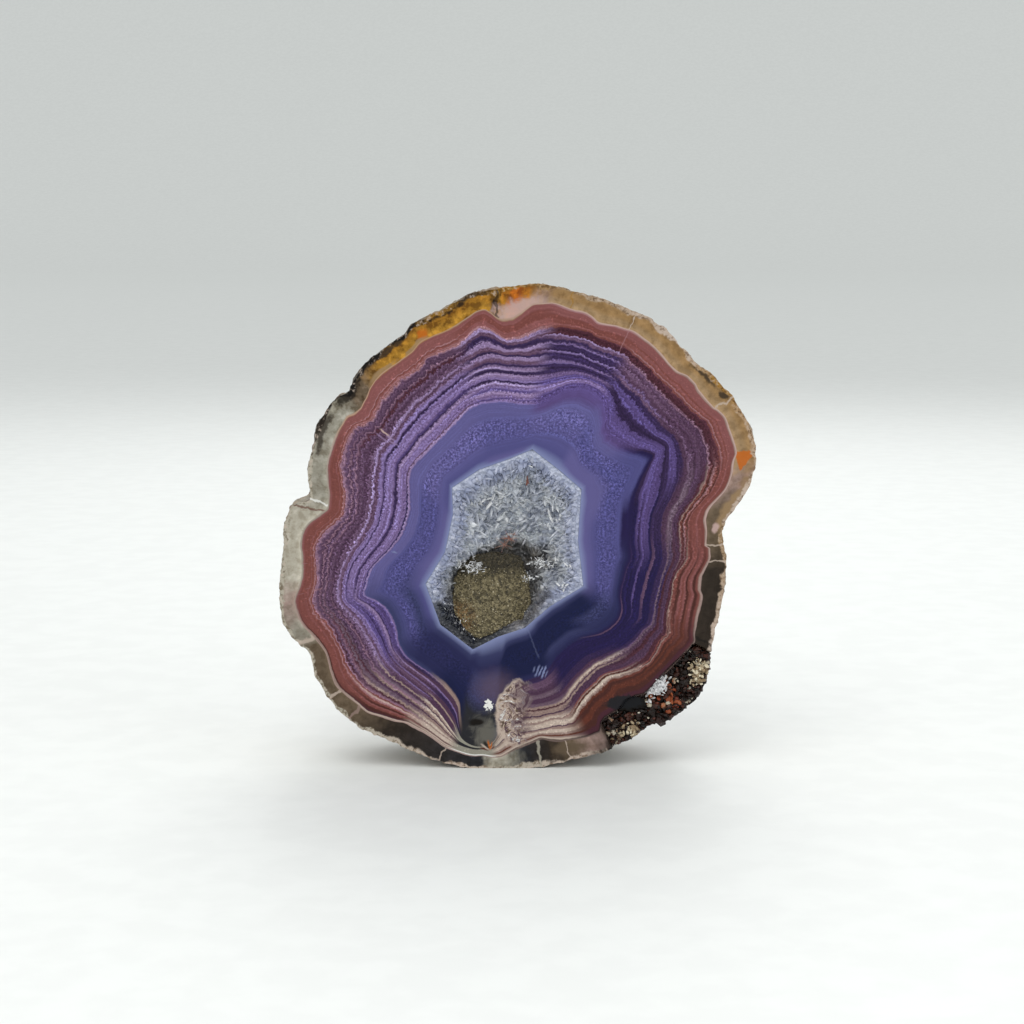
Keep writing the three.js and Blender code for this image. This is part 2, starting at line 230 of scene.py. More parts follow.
# The stone's colours from the rind to the hollow, by growth depth. Each run holds round its own angles
# and fades into the next between the two that it starts with
BANDS = [
    # Beside the feeder: swirls of cream and brown
    (None, table("""
        0 smoky, 2.3 smoky, 2.5 cream, 2.8 drift, 3 rust, 3.3 drift, 3.7 cream, 4.3 drift,
        4.5 brown_plum, 4.7 cream, 5.3 cream, 5.7 drift, 5.9 cream, 6.4 drift, 6.6 brown_plum, 6.8 drift,
        7.3 drift, 7.5 maroon, 7.8 drift, 8.2 mauve, 8.8 brown_plum, 9.6 mauve, 10.2 brown_plum,
        11.2 plum, 12.2 purple_dark, 12.8 navy_violet, 13.4 navy, 17.6 navy, 18.3 slate_blue, 19.4 halo
    """)),
    # Lower right: brown with ribbons of cream
    ((-73, -65), table("""
        0 black_brown, 2.3 black_brown, 2.6 maroon, 3.2 dark_brick, 3.8 rust, 4.3 dark_brick, 4.6 rust,
        4.8 drift, 4.9 cream, 5.15 cream, 5.3 dark_brick, 5.45 rust, 5.6 drift, 5.8 brick,
        6.1 brown_plum, 6.9 brown_plum, 7.25 drift, 7.5 brown_plum, 7.7 drift, 7.9 cream, 8.15 drift,
        8.3 mauve, 8.5 brown_plum, 9.3 purple_dark, 10.4 indigo, 12.2 indigo, 12.9 navy_violet,
        14.1 slate_blue, 14.8 navy, 17.8 navy, 18.6 slate_blue, 19.4 halo
    """)),
    ((-52, -36), table("""
        0 black_brown, 2.3 black_brown, 2.6 maroon, 3.2 dark_brick, 3.6 rust, 3.85 dark_brick, 4.1 rust,
        4.3 dark_brick, 4.6 brick, 4.75 drift, 4.85 maroon, 5 brick, 5.15 maroon, 6.2 brown_plum,
        6.8 maroon, 7.3 brown_plum, 7.65 mauve, 7.8 plum, 8.1 purple_dark, 9 indigo, 12.5 indigo,
        12.75 plum, 12.95 indigo, 13.4 navy_violet, 15.8 slate_blue, 16.6 navy, 18.2 navy,
        18.8 slate_blue, 19.4 halo
    """)),
    # Right: brick, then a wide dark zone
    ((-32, -14), table("""
        0 smoky, 2.2 smoky, 2.4 drift, 2.55 brick, 2.9 dark_brick, 3.15 rose, 3.4 brick, 3.65 dark_brick,
        3.85 rose, 4.05 brick, 4.25 rose, 4.45 dark_brick, 4.8 brick, 5 drift, 5.15 maroon,
        6.4 brown_plum, 6.9 maroon, 7.4 purple_dark, 7.85 mauve, 8 purple_dark, 9.3 indigo, 9.9 plum,
        10.15 indigo, 11 indigo, 11.2 violet, 11.45 indigo, 12.6 indigo, 12.8 purple_dark, 13 indigo,
        13.4 navy_violet, 14.8 blue, 17.2 blue, 18.4 violet_blue, 19.4 halo
    """)),
    ((-9, 12), table("""
        0 smoky, 2.2 smoky, 2.4 drift, 2.6 brick, 3.3 brick, 3.5 rose, 3.9 brick, 4.6 brick, 4.8 rose,
        5 dark_brick, 5.25 brick, 5.4 blush, 5.55 dark_brick, 5.85 brick, 6 drift, 6.15 maroon,
        6.6 brown_plum, 7.5 mauve, 8 brown_plum, 9 purple_dark, 9.9 purple_dark, 10.2 indigo,
        10.5 violet, 11.4 violet, 11.7 purple_dark, 12 violet, 12.3 indigo, 13.9 indigo, 14.3 blue,
        17.2 blue, 18.6 violet_blue, 19.4 halo
    """)),
    # Upper right: dusty purple over blue
    ((18, 29), table("""
        0 tan, 2.2 tan, 2.4 drift, 2.6 rose, 3.6 rose, 3.8 brick, 4.1 rose, 4.5 brick, 4.7 blush,
        4.85 brick, 5.1 maroon, 5.7 maroon, 5.9 dusty_pink, 6.05 brown_plum, 6.5 brown_plum, 6.65 plum,
        6.8 brown_plum, 7.4 brown_plum, 7.6 plum, 7.75 brown_plum, 8.4 purple_dark, 9.2 violet,
        10 purple_dark, 10.9 violet, 11.5 violet, 12.1 violet, 12.4 purple_dark, 13 indigo, 13.5 blue,
        16.4 blue, 17.6 violet_blue, 18.7 violet_blue, 19.4 halo
    """)),
    ((37, 47), table("""
        0 tan, 2.2 tan, 2.4 drift, 2.6 rose, 3.6 rose, 3.8 brick, 4.1 rose, 4.5 brick, 4.7 blush,
        4.85 brick, 5.1 maroon, 5.7 maroon, 5.9 dusty_pink, 6.05 plum, 6.5 brown_plum, 6.65 plum,
        6.8 plum, 7.4 brown_plum, 7.6 lilac, 7.75 plum, 8.4 purple_dark, 9.2 violet, 10.2 purple_dark,
        11.2 violet, 12.3 violet, 13 violet, 13.8 violet_blue, 16.4 blue, 17.6 violet_blue,
        18.7 violet_blue, 19.4 halo
    """)),
    ((57, 62), table("""
        0 tan, 2.2 tan, 2.4 blush, 2.6 rose, 4.3 brick, 4.5 rose, 4.8 brick, 5 maroon, 5.6 maroon,
        5.75 lilac_pale, 5.9 plum, 6.4 purple_dark, 6.6 lilac, 6.75 purple_dark, 7.25 purple_dark,
        7.4 lilac, 7.6 purple_dark, 8.2 purple_dark, 8.5 lilac, 8.8 purple_dark, 9.5 purple_dark,
        9.9 lilac, 10.6 violet, 11.2 lilac, 12.2 violet, 13.5 violet, 14.4 violet_blue, 15.4 violet_blue,
        18.5 blue, 19.4 halo
    """)),
    # Top: the clearest stripes
    ((77, 83), table("""
        0 tan, 2.2 tan, 2.5 rose, 3.4 brick, 4.5 rose, 4.85 blush, 5.2 lilac_pale, 5.6 plum,
        6.1 purple_dark, 6.35 purple_dark, 6.7 lilac_pale, 7.4 plum, 7.75 purple_dark, 8 lilac_pale,
        8.55 plum, 8.85 purple_dark, 9.15 lilac_pale, 9.6 purple_dark, 9.95 lilac_pale, 10.35 lilac,
        10.6 purple_dark, 10.85 lilac_pale, 11.2 lilac, 11.45 violet, 11.75 lilac_pale, 12.25 lilac,
        12.35 violet, 12.6 lilac, 12.9 violet_blue, 18.3 blue, 19 violet_blue, 19.4 halo
    """)),
    # Upper left
    ((99, 106), table("""
        0 amber, 2.2 amber, 2.5 rose, 3.2 rose, 3.9 rose, 4.05 blush, 4.15 brick, 4.5 rose, 4.65 blush,
        4.75 rose, 5 blush, 5.1 dusty_pink, 5.3 brown_plum, 5.6 plum, 5.9 brown_plum, 6.05 dusty_pink,
        6.15 brown_plum, 6.3 maroon, 6.8 plum, 7 brown_plum, 7.4 plum, 7.8 lilac_pale, 8 plum, 8.8 lilac,
        9.05 purple_dark, 9.4 lilac, 10.3 lilac, 10.65 violet, 10.85 purple_dark, 11.1 lilac_pale,
        11.7 lilac, 12.2 lilac, 12.45 plum, 12.6 lilac_pale, 12.95 violet_blue, 16.4 violet_blue,
        18.6 blue, 19.4 halo
    """)),
    # Left: a brick edge, dark dusty plum, then two lilac bands with dark lines between
    ((136, 150), table("""
        0 pale_grey, 2.2 pale_grey, 2.6 rose, 2.9 brick, 3.8 brick, 3.95 rose, 4.1 brick, 4.4 brick,
        4.55 blush, 4.7 brick, 4.95 dusty_pink, 5.1 dusty_pink, 5.25 plum, 5.5 brown_plum,
        5.65 dusty_pink, 5.8 brown_plum, 6.1 plum, 6.2 dusty_pink, 6.35 brown_plum, 6.7 plum,
        7 brown_plum, 7.6 plum, 7.9 lilac_pale, 8.1 plum, 9.05 lilac, 9.25 purple_dark, 9.45 lilac,
        10.6 lilac, 10.75 purple_dark, 10.95 purple_dark, 11.15 lilac, 12.2 lilac, 12.4 indigo,
        12.6 lilac_pale, 12.9 violet_blue, 14.1 violet_blue, 14.5 blue, 17 blue, 18.5 violet_blue,
        19.4 halo
    """)),
    # Lower left: brick and maroon stripes, then violet and indigo
    ((186, 204), table("""
        0 taupe, 2.2 taupe, 2.45 drift, 2.6 dark_brick, 2.8 brick, 3.6 brick, 3.75 rose, 3.9 brick,
        4.3 brick, 4.5 blush, 4.65 brick, 4.8 brick, 4.95 dusty_pink, 5.1 maroon, 5.4 plum,
        5.55 dusty_pink, 5.7 maroon, 6 mauve, 6.2 maroon, 6.4 mauve, 6.55 brown_plum, 6.9 plum,
        7.05 dusty_pink, 7.2 brown_plum, 7.6 plum, 7.9 lilac_pale, 8.15 plum, 8.8 lilac, 9.6 violet,
        9.95 purple_dark, 10.2 violet, 10.7 lilac, 11.1 lilac_pale, 11.3 purple_dark, 11.5 violet,
        12.4 violet, 12.7 lilac, 13 slate_blue, 15.2 blue, 17 slate_blue, 18.4 blue, 19.4 halo
    """)),
    ((215, 229), table("""
        0 taupe, 2.25 taupe, 2.4 cream, 2.55 maroon, 2.9 dark_brick, 3.3 brick, 3.5 rose, 3.7 dark_brick,
        4.1 brick, 4.3 blush, 4.6 pink_white, 4.8 brick, 5.1 dusty_pink, 5.4 maroon, 5.6 drift,
        5.9 mauve, 6.4 brown_plum, 6.6 drift, 6.9 dusty_pink, 7.1 mauve, 7.5 brown_plum, 7.7 drift,
        7.9 brown_plum, 8.6 plum, 8.9 lilac, 9.1 brown_plum, 10 plum, 10.3 lilac, 10.5 brown_plum,
        11.2 plum, 11.5 lilac_pale, 11.7 brown_plum, 12.4 purple_dark, 12.7 lilac, 12.9 slate_blue,
        13.5 navy_violet, 17.8 navy_violet, 18.6 slate_blue, 19.4 halo
    """)),
    # Cream ribbons close to the feeder
    ((236, 246), table("""
        0 smoky, 2.25 smoky, 2.45 cream, 2.7 drift, 3 cream, 3.3 drift, 3.5 maroon, 3.7 drift, 3.9 cream,
        4.9 cream, 5.1 drift, 5.3 cream, 6.1 drift, 6.3 brown_plum, 6.5 drift, 7.1 cream, 7.3 brown_plum,
        7.6 drift, 8 cream, 8.2 brown_plum, 9.1 brown_plum, 9.4 drift, 9.7 brown_plum, 10.9 purple_dark,
        11.4 lilac, 11.6 brown_plum, 12.3 brown_plum, 12.65 drift, 13 drift, 13.3 navy, 17.8 navy_violet,
        18.6 slate_blue, 19.4 halo
    """)),
    # The feeder, grey and slate
    ((252, 256), table("""
        0 smoky, 2.2 smoky, 2.45 white, 2.9 pale_grey, 4.6 pale_grey, 6 slate, 9 pale_grey, 11.5 slate,
        14.6 slate, 15.6 slate_blue, 16.2 slate_blue, 16.9 slate_blue, 17.6 navy_violet, 18.4 slate_blue,
        19.4 halo
    """)),
]
LAST_FADE = (264.5, 267.5)

# How speckled each growth depth is
SPECKLED = table("""
    0 0, 2.7 0.2, 4.6 0.35, 5.1 0.9, 7.9 1, 8.6 0.75, 12.4 0.75, 13 0.15, 14.4 0.1, 14.9 1, 17.1 0.9,
    17.4 0.1, 20 0
""")
# How frilly the growth lines are, and how strong the fine lines, by angle
FRILLY = table("""
    -90 0.5, -20 0.5, 5 0.6, 30 0.8, 75 0.7, 100 1.2, 115 1.5, 200 1.3, 225 0.8, 270 0.5
""")
LINED = table("""
    -90 0.35, -62 0.4, -40 0.6, -20 0.7, 30 0.8, 70 1, 205 1, 225 0.6, 245 0.45, 270 0.35
""")
# The clear chalcedony between rind and bands, and the crust outside it, by angle from -90 to 270
CHALCEDONY = table("""
    -90 pale_grey, -86 slate, -77 smoky, -72 taupe, -66 drift, -61 black_brown, -28 black_brown,
    -24 smoky, -4 smoky, 5 taupe, 13 taupe, 18 drift, 22 tan, 45 tan, 80 tan, 83 drift, 85 amber,
    88 orange, 91.5 amber, 92.5 black_brown, 94 amber, 124 amber, 129 taupe, 134 taupe, 138 pale_grey,
    142 pale_grey, 162 pale_grey, 168 pale_cream, 186 pale_cream, 192 drift, 200 pale_grey, 205 taupe,
    225 taupe, 236 smoky, 262 slate, 266 pale_cream, 270 pale_grey
""")
CRUST = table("""
    -90 pale_cream, -70 cream, -62 black_brown, -28 black_brown, -24 cream, 5 tan, 14 cream, 40 amber,
    50 cream, 80 tan, 90 amber, 98 smoky, 106 amber, 112 black_brown, 137 black_brown, 147 smoky,
    155 pale_cream, 186 pale_cream, 195 pale_cream, 225 pale_cream, 258 cream, 270 pale_cream
""")
# How plain the white line inside the chalcedony is, by angle
WHITE_STRENGTH = table("""
    -90 0.3, -60 0.2, -27 0.3, -20 0.5, -5 0.6, 3 0.85, 30 0.9, 60 0.8, 82 0.7, 92 0.3, 105 0.35,
    130 0.55, 150 0.5, 160 0.25, 186 0.2, 200 0.6, 222 0.55, 245 0.8, 270 0.6
""")
# How patchy the chalcedony is, by angle
GLASS_CONTRAST = table("""
    -90 0.45, -60 0.3, 0 0.3, 20 0.35, 80 0.35, 90 0.8, 128 0.9, 140 0.6, 155 0.4, 200 0.35, 270 0.45
""")
# Cracks across the chalcedony: angle, width and colour
CRACKS = [
    (-81, 0.5, "pale_cream"), (-73, 0.3, "cream"), (-24, 0.5, "black_brown"), (-1.5, 0.35, "cream"),
    (3, 0.35, "cream"), (35.5, 0.3, "cream"), (62, 0.2, "cream"), (76, 0.2, "amber"),
    (92.5, 0.45, "black_brown"),
    (164, 0.5, "white"), (166.5, 0.4, "rust"), (203, 0.7, "cream"), (219, 0.5, "cream"),
    (226, 0.6, "drift"),
    (252, 0.3, "cream"),
]

# Thin veins and flaws of the face: both ends from the middle of the hollow, width, strength and colour
VEINS = [
    ((15.7, 29.6), (13.5, 25.0), 0.1, 0.6, "blush"), ((2.4, -9.0), (3.9, -13.0), 0.14, 0.16, "halo"),
    ((3.0, -14.7), (3.5, -13.7), 0.14, 0.5, "halo"), ((3.3, -15.3), (4.0, -13.5), 0.16, 0.7, "halo"),
    ((3.7, -15.2), (4.4, -13.7), 0.14, 0.9, "halo"), ((4.1, -15.5), (4.8, -13.6), 0.16, 0.9, "halo"),
    ((4.5, -15.4), (5.0, -14.2), 0.14, 0.6, "halo"), ((-14.4, 0.5), (-13.4, 0.3), 0.16, 0.7, "halo"),
    ((-15.7, 15.7), (-14.0, 14.3), 0.14, 0.9, "pink_white"),
    ((-14.9, 14.9), (-13.6, 14.1), 0.16, 0.9, "lilac_pale"),
    ((-14.6, 14.2), (-13.2, 13.5), 0.14, 0.8, "lilac_pale"),
    ((-16.2, 15.2), (-14.6, 14.0), 0.14, 0.6, "lilac_pale"),
]
# The rays of a rusty star where the feeder leaves the bands: outer end, width and colour
BURST = [
    ((-3.1, -23.1), 0.3, "black_brown"), ((-3.6, -24.0), 0.18, "rust"), ((-2.5, -23.0), 0.16, "orange"),
    ((-1.5, -23.7), 0.16, "rust"), ((-3.5, -23.5), 0.16, "cream"), ((-1.9, -23.2), 0.12, "orange"),
]
# Patches in the chalcedony: angle and depth of the middle, their half sizes, and colour
GLASS_PATCHES = [
    ((87.8, 1.95), (5.2, 0.85), "pink_white"), ((110.8, 1.55), (1.3, 0.6), "orange"),
    ((12.5, 0.55), (5.0, 0.6), "tan"),
    ((7.6, 1.1), (1.3, 0.4), "pink_white"), ((-73.0, 1.3), (4.0, 0.6), "taupe"),
    ((43.0, 0.5), (3.5, 0.4), "smoky"), ((37.0, 0.6), (1.0, 0.3), "smoky"),
    ((113.5, 2.1), (3.5, 0.3), "tan"), ((124.0, 2.0), (4.0, 0.35), "tan"),
    ((104.0, 0.4), (5.0, 0.3), "black_brown"), ((121.0, 0.45), (6.0, 0.35), "smoky"),
    ((134.0, 0.5), (4.0, 0.5), "black_brown"), ((146.0, 0.7), (5.0, 0.4), "smoky"),
]


def linear(level):
    """A screen level from 0 to 255 as a share of the light"""
    share = level / 255.0
    return share / 12.92 if share <= 0.04045 else ((share + 0.055) / 1.055) ** 2.4


def stone_colour(name, red, green, blue):
    """A colour that the panel shows, given as screen levels"""
    return FloatVectorProperty(
        name=name, description=f"{name} of the stone", subtype="COLOR", size=3, min=0.0, max=1.0,
        default=[linear(level) for level in (red, green, blue)],
    )


class AgateColours(bpy.types.PropertyGroup):
    """The colours of the stone"""

    cream: stone_colour("Cream", 182, 165, 152)
    pale_cream: stone_colour("Pale cream", 165, 159, 145)
    white: stone_colour("White", 222, 222, 218)
    tan: stone_colour("Tan", 143, 118, 87)
    pale_grey: stone_colour("Pale grey", 138, 134, 122)
    slate: stone_colour("Slate", 36, 36, 40)
    black_slate: stone_colour("Black slate", 26, 27, 31)
    taupe: stone_colour("Taupe", 92, 78, 62)
    smoky: stone_colour("Smoky", 42, 34, 27)
    black_brown: stone_colour("Black brown", 18, 13, 9)
    amber: stone_colour("Amber", 146, 106, 36)
    orange: stone_colour("Orange", 176, 92, 24)
    rust: stone_colour("Rust", 86, 43, 32)
    blush: stone_colour("Blush", 146, 106, 110)
    pink_white: stone_colour("Pink white", 180, 153, 147)
    dusty_pink: stone_colour("Dusty pink", 128, 96, 114)
    drift: stone_colour("Drift", 140, 118, 110)
    rose: stone_colour("Rose", 122, 74, 73)
    brick: stone_colour("Brick", 110, 62, 57)
    dark_brick: stone_colour("Dark brick", 66, 34, 29)
    maroon: stone_colour("Maroon", 66, 33, 43)
    brown_plum: stone_colour("Brown plum", 70, 46, 67)
    plum: stone_colour("Plum", 90, 65, 88)
    purple_dark: stone_colour("Dark purple", 47, 32, 66)
    lilac_pale: stone_colour("Pale lilac", 134, 112, 148)
    lilac: stone_colour("Lilac", 112, 92, 134)
    mauve: stone_colour("Mauve", 98, 78, 92)
    violet: stone_colour("Violet", 80, 64, 112)
    violet_blue: stone_colour("Violet blue", 88, 83, 132)
    blue: stone_colour("Blue", 72, 70, 120)
    slate_blue: stone_colour("Slate blue", 48, 51, 88)
    indigo: stone_colour("Indigo", 29, 20, 63)
    navy_violet: stone_colour("Navy violet", 32, 33, 72)
    navy: stone_colour("Navy", 15, 21, 58)
    halo: stone_colour("Halo", 120, 128, 166)


class AgateSlice(bpy.types.PropertyGroup):
    """The finish of the slice"""

    edge_relief: FloatProperty(
        name="Edge relief", description="How far the crumbly rind stands in and out",
        default=0.22 * MM, min=0.0, max=1.0 * MM, precision=5, unit="LENGTH",
    )
    gloss: FloatProperty(
        name="Face roughness", description="Roughness of the polished face", subtype="FACTOR",
        default=0.16, min=0.0, max=1.0,
    )
    waviness: FloatProperty(
        name="Band waviness", description="How far the fine bands wander from the growth lines",
        default=0.3 * MM, min=0.0, max=1.0 * MM, precision=5, unit="LENGTH",
    )


class AgateQuartz(bpy.types.PropertyGroup):
    """The quartz of the hollow"""

    points: IntProperty(
        name="Quartz points", description="How many points line the hollow", default=2300, min=100, max=4000,
    )
    slivers: IntProperty(
        name="Quartz slivers", description="How many long thin points lie over the others",
        default=330, min=0, max=2000,
    )
    shortest: FloatProperty(
        name="Shortest point", description="Length of the shortest quartz point",
        default=0.6 * MM, min=0.2 * MM, max=3.0 * MM, precision=5, unit="LENGTH",
    )
    longest: FloatProperty(
        name="Longest point", description="Length of the longest quartz point",
        default=1.5 * MM, min=0.2 * MM, max=4.0 * MM, precision=5, unit="LENGTH",
    )
    grains: IntProperty(
        name="Mound grains", description="How many loose grains lie on the stained mound",
        default=3200, min=0, max=6000,
    )


class AgateStudio(bpy.types.PropertyGroup):
    """The floor, the light and the camera"""

    floor_colour: FloatVectorProperty(
        name="Floor", description="Colour of the floor and the backdrop", subtype="COLOR", size=3,
        min=0.0, max=1.0, default=[linear(level) for level in (226, 228, 226)],
    )
    key_power: FloatProperty(
        name="Key light", description="Power of the large light overhead", default=1.0, min=0.0, unit="POWER",
    )
    lens: FloatProperty(
        name="Lens", description="Focal length of the camera in millimetres", default=77.3, min=10.0,
    )
    elevation: FloatProperty(
        name="Elevation", description="How far the camera looks down", subtype="ANGLE",
        default=math.radians(7.5),
    )


def joined(operation, flipped=False):
    """A sum, difference, product or share of two values, as a node"""

    def join(one, other):
        return one.shade.math(operation, *((other, one) if flipped else (one, other)))

    return join


class Value:
    """What a node gives out. It can be reckoned with like a number."""

    __add__ = joined("ADD")
    __radd__ = joined("ADD", flipped=True)
    __sub__ = joined("SUBTRACT")
    __rsub__ = joined("SUBTRACT", flipped=True)
    __mul__ = joined("MULTIPLY")
    __rmul__ = joined("MULTIPLY", flipped=True)
    __truediv__ = joined("DIVIDE")

    def __init__(self, shade, socket):
        self.shade = shade
        self.socket = socket

    def __abs__(self):
        return self.shade.math("ABSOLUTE", self)


class Shade:
    """A material under way: each call adds a node and gives its output."""

    def __init__(self, name, colours=None):
        self.material = bpy.data.materials.new(name)
        self.material.use_nodes = True
        self.tree = self.material.node_tree
        self.finish = self.tree.nodes["Principled BSDF"]
        self.colours = colours

    def colour(self, shown):
        """A colour given by its name in the palette, by three levels or by one for a grey"""
        if isinstance(shown, str):
            shown = getattr(self.colours, shown)
        elif isinstance(shown, (int, float)):
            shown = (shown, shown, shown)
        return (*shown, 1.0)

    def attribute(self, name):
        return self.add("Attribute", {}, output="Fac", attribute_name=name)

    def bearing(self, x, z):
        """Degrees anticlockwise from +X about the middle of the hollow, from -90 to 270"""
        return self.math("ARCTAN2", x * -1.0, z) * (180.0 / math.pi) + 90.0

    def feed(self, node, sockets):
        for key, value in sockets.items():
            if isinstance(value, Value):
                self.tree.links.new(value.socket, node.inputs[key])
            else:
                node.inputs[key].default_value = value

    def add(self, kind, sockets, output=0, **settings):
        node = self.tree.nodes.new("ShaderNode" + kind)
        for name, value in settings.items():
            setattr(node, name, value)
        self.feed(node, sockets)
        return Value(self, node.outputs[output])

    def math(self, operation, *values):
        return self.add("Math", dict(enumerate(values)), operation=operation)

    def step(self, value, low, high, to_low=0.0, to_high=1.0):
        """A soft step from to_low to to_high as the value goes from low to high"""
        sockets = {"Value": value, "From Min": low, "From Max": high, "To Min": to_low, "To Max": to_high}
        return self.add("MapRange", sockets, interpolation_type="SMOOTHSTEP")

    def within(self, value, low, full, fading, high):
        """A soft step up from low to full, and down again from fading to high"""
        return self.step(value, low, full) * self.step(value, fading, high, 1.0, 0.0)

    def ramp(self, value, stops, low=0.0, high=1.0):
        """Colours or levels along a value that runs from low to high"""
        if len(stops) > 32:
            cut = len(stops) // 2
            early = self.ramp(value, stops[:cut + 1], low, high)
            late = self.ramp(value, stops[cut:], low, high)
            return self.mix(self.math("GREATER_THAN", value, float(stops[cut][0])), early, late)
        share = self.add("MapRange", {"Value": value, "From Min": low, "From Max": high})
        node = self.tree.nodes.new("ShaderNodeValToRGB")
        elements = node.color_ramp.elements
        while len(elements) < len(stops):
            elements.new(1.0)
        for element, (place, shown) in zip(elements, stops):
            element.position = (place - low) / (high - low)
            element.color = self.colour(shown)
        self.feed(node, {"Fac": share})
        return Value(self, node.outputs["Color"])

    def mix(self, share, a, b, blend="MIX"):
        """From a to b by a share. Each is a value or a colour"""
        a, b = [shown if isinstance(shown, Value) else self.colour(shown) for shown in (a, b)]
        return self.add("Mix", {0: share, 6: a, 7: b}, output=2, data_type="RGBA", blend_type=blend)

    def tinted(self, share, base, rgb):
        """The base, multiplied by three levels where the share is 1"""
        return self.mix(share, base, rgb, "MULTIPLY")

    def noise(self, vector, scale, detail=2.0, roughness=0.5, distortion=0.0):
        sockets = {
            "Vector": vector, "Scale": scale, "Detail": detail, "Roughness": roughness,
            "Distortion": distortion,
        }
        return self.add("TexNoise", sockets)

    def cells(self, vector, scale, output="Distance", feature="F1", randomness=1.0):
        sockets = {"Vector": vector, "Scale": scale, "Randomness": randomness}
        return self.add("TexVoronoi", sockets, output=output, feature=feature)

    def vector(self, x, y, z):
        return self.add("CombineXYZ", {0: x, 1: y, 2: z})

    def place(self):
        """Where the surface is, in millimetres from the middle of the hollow's mouth, and its three parts"""
        metres = self.add("TexCoord", {}, output="Object")
        scaled = self.add("VectorMath", {0: metres, 1: (1000.0, 1000.0, 1000.0)}, operation="MULTIPLY")
        middle = (HOLLOW_X, FACE_Y, HOLLOW_Z)
        moved = self.add("VectorMath", {0: scaled, 1: middle}, operation="SUBTRACT")
        node = self.tree.nodes.new("ShaderNodeSeparateXYZ")
        self.feed(node, {0: moved})
        return moved, *[Value(self, part) for part in node.outputs]

    def patch(self, x, z, at, half, soft=0.3, stray=0.0):
        """1 inside an oval, given by its middle and half sizes, and 0 outside it. Stray roughens its edge"""
        across = (x - at[0]) * (1.0 / half[0])
        up = (z - at[1]) * (1.0 / half[1])
        far = self.math("SQRT", across * across + up * up)
        return self.step(far + stray, 1.0 - soft, 1.0 + soft, 1.0, 0.0)

    def stroke(self, x, z, start, end, width, stray=0.0):
        """1 along a thin vein from start to end, and 0 away from it"""
        run = Vector(end) - Vector(start)
        length = run.length
        run.normalize()
        across = x - start[0]
        up = z - start[1]
        along = across * run.x + up * run.y
        aside = across * run.y + up * -run.x
        off = abs(aside + stray)
        ends = self.step(along, 0.0, 0.5) * self.step(along, length - 0.5, length, 1.0, 0.0)
        return self.step(off, 0.3 * width, width, 1.0, 0.0) * ends

    def bumped(self, height, strength, distance):
        sockets = {"Strength": strength, "Distance": distance, "Height": height}
        self.feed(self.finish, {"Normal": self.add("Bump", sockets)})


def crisp(stops):
    """The same bands with sharp edges between them, down to the soft blue ones"""
    sharp = [stops[0]]
    for (start, shown), (end, after) in zip(stops[:-1], stops[1:]):
        if shown != after and end < 13.2:
            half = min(0.08, 0.25 * (end - start))
            sharp.append(((start + end) / 2.0 - half, shown))
            sharp.append(((start + end) / 2.0 + half, after))
        sharp.append((end, after))
    kept = [
        stop for before, stop, after in zip(sharp[:-2], sharp[1:-1], sharp[2:])
        if not before[1] == stop[1] == after[1]
    ]
    return [sharp[0], *kept, sharp[-1]]


def steady_line(readings, at=ANGLES):
    """Distances at the angles asked for, on a smooth closed line through the readings"""
    angles, distances = np.array(readings, float).T
    angles = np.concatenate([angles - 360.0, angles, angles + 360.0])
    distances = np.tile(distances, 3)
    slopes = np.diff(distances) / np.diff(angles)
    before, after = slopes[:-1], slopes[1:]
    same_way = before * after > 0.0
    bend = np.zeros(len(angles))
    bend[1:-1][same_way] = 2.0 * (before * after)[same_way] / (before + after)[same_way]
    k = np.searchsorted(angles, at, side="right") - 1
    width = angles[k + 1] - angles[k]
    t = (at - angles[k]) / width
    return (
        distances[k] * (1 + 2 * t) * (1 - t) ** 2
        + distances[k + 1] * t * t * (3 - 2 * t)
        + width * (bend[k] * t * (1 - t) ** 2 - bend[k + 1] * t * t * (1 - t))
    )


def mouth_line(at=ANGLES):
    """Distances to the straight sides of the hollow's mouth"""
    corners = np.array(MOUTH + MOUTH[:1], float)
    shares = np.linspace(0, 1, 40, False)[:, None]
    sides = [a + (b - a) * t for a, b in zip(corners[:-1], corners[1:]) for t in shares]
    points = np.array(sides).reshape(-1, 2)
    angles = np.degrees(np.arctan2(points[:, 1], points[:, 0])) % 360.0
    order = np.argsort(angles)
    return np.interp(at, angles[order], np.hypot(*points.T)[order], period=360.0)


def drawn(seed):
    """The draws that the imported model's chips were cut with"""
    state = seed
    while True:
        state = (state * 1664525 + 1013904223) % 4294967296
        yield state / 4294967296


def chips():
    """Angle, share of the thickness and radius of each bite out of the rind"""
    draws = drawn(CHIP_SEED)
    for index in range(CHIPS):
        turn = (index + next(draws)) / CHIPS
        radius = 1.6 + 1.4 * next(draws)
        share = 0.2 + 0.65 * next(draws)
        for _ in range(3):
            next(draws)
        yield turn * 360.0, share, radius


def relief(x, y, z):
    """The broad lumps and creases of the rind, from about -1 to 1"""
    broad = np.sin(x * 0.31 + 1.3) * np.sin(y * 0.47 + 0.4) + np.sin(z * 0.36 + x * 0.17)
    creased = np.abs(np.sin(x * 0.55 + y * 0.31 + np.sin(z * 0.43)) * np.cos(z * 0.49 - y * 0.37))
    return 0.35 * broad + 0.6 - 1.2 * creased


def crumbly(x, y, z):
    """The fine crumbs and pits of the rind, from about -1 to 1"""
    rough = [
        noise.fractal(Vector(p) * 0.75, 0.75, 2.1, 5) for p in zip(np.ravel(x), np.ravel(y), np.ravel(z))
    ]
    return np.array(rough).reshape(np.shape(x))


def above_ground(distance):
    """The distances, cut off flat where they would pass below the ground"""
    down = np.maximum(1e-6, -np.sin(np.radians(ANGLES)))
    return np.minimum(distance, HOLLOW_Z / down)


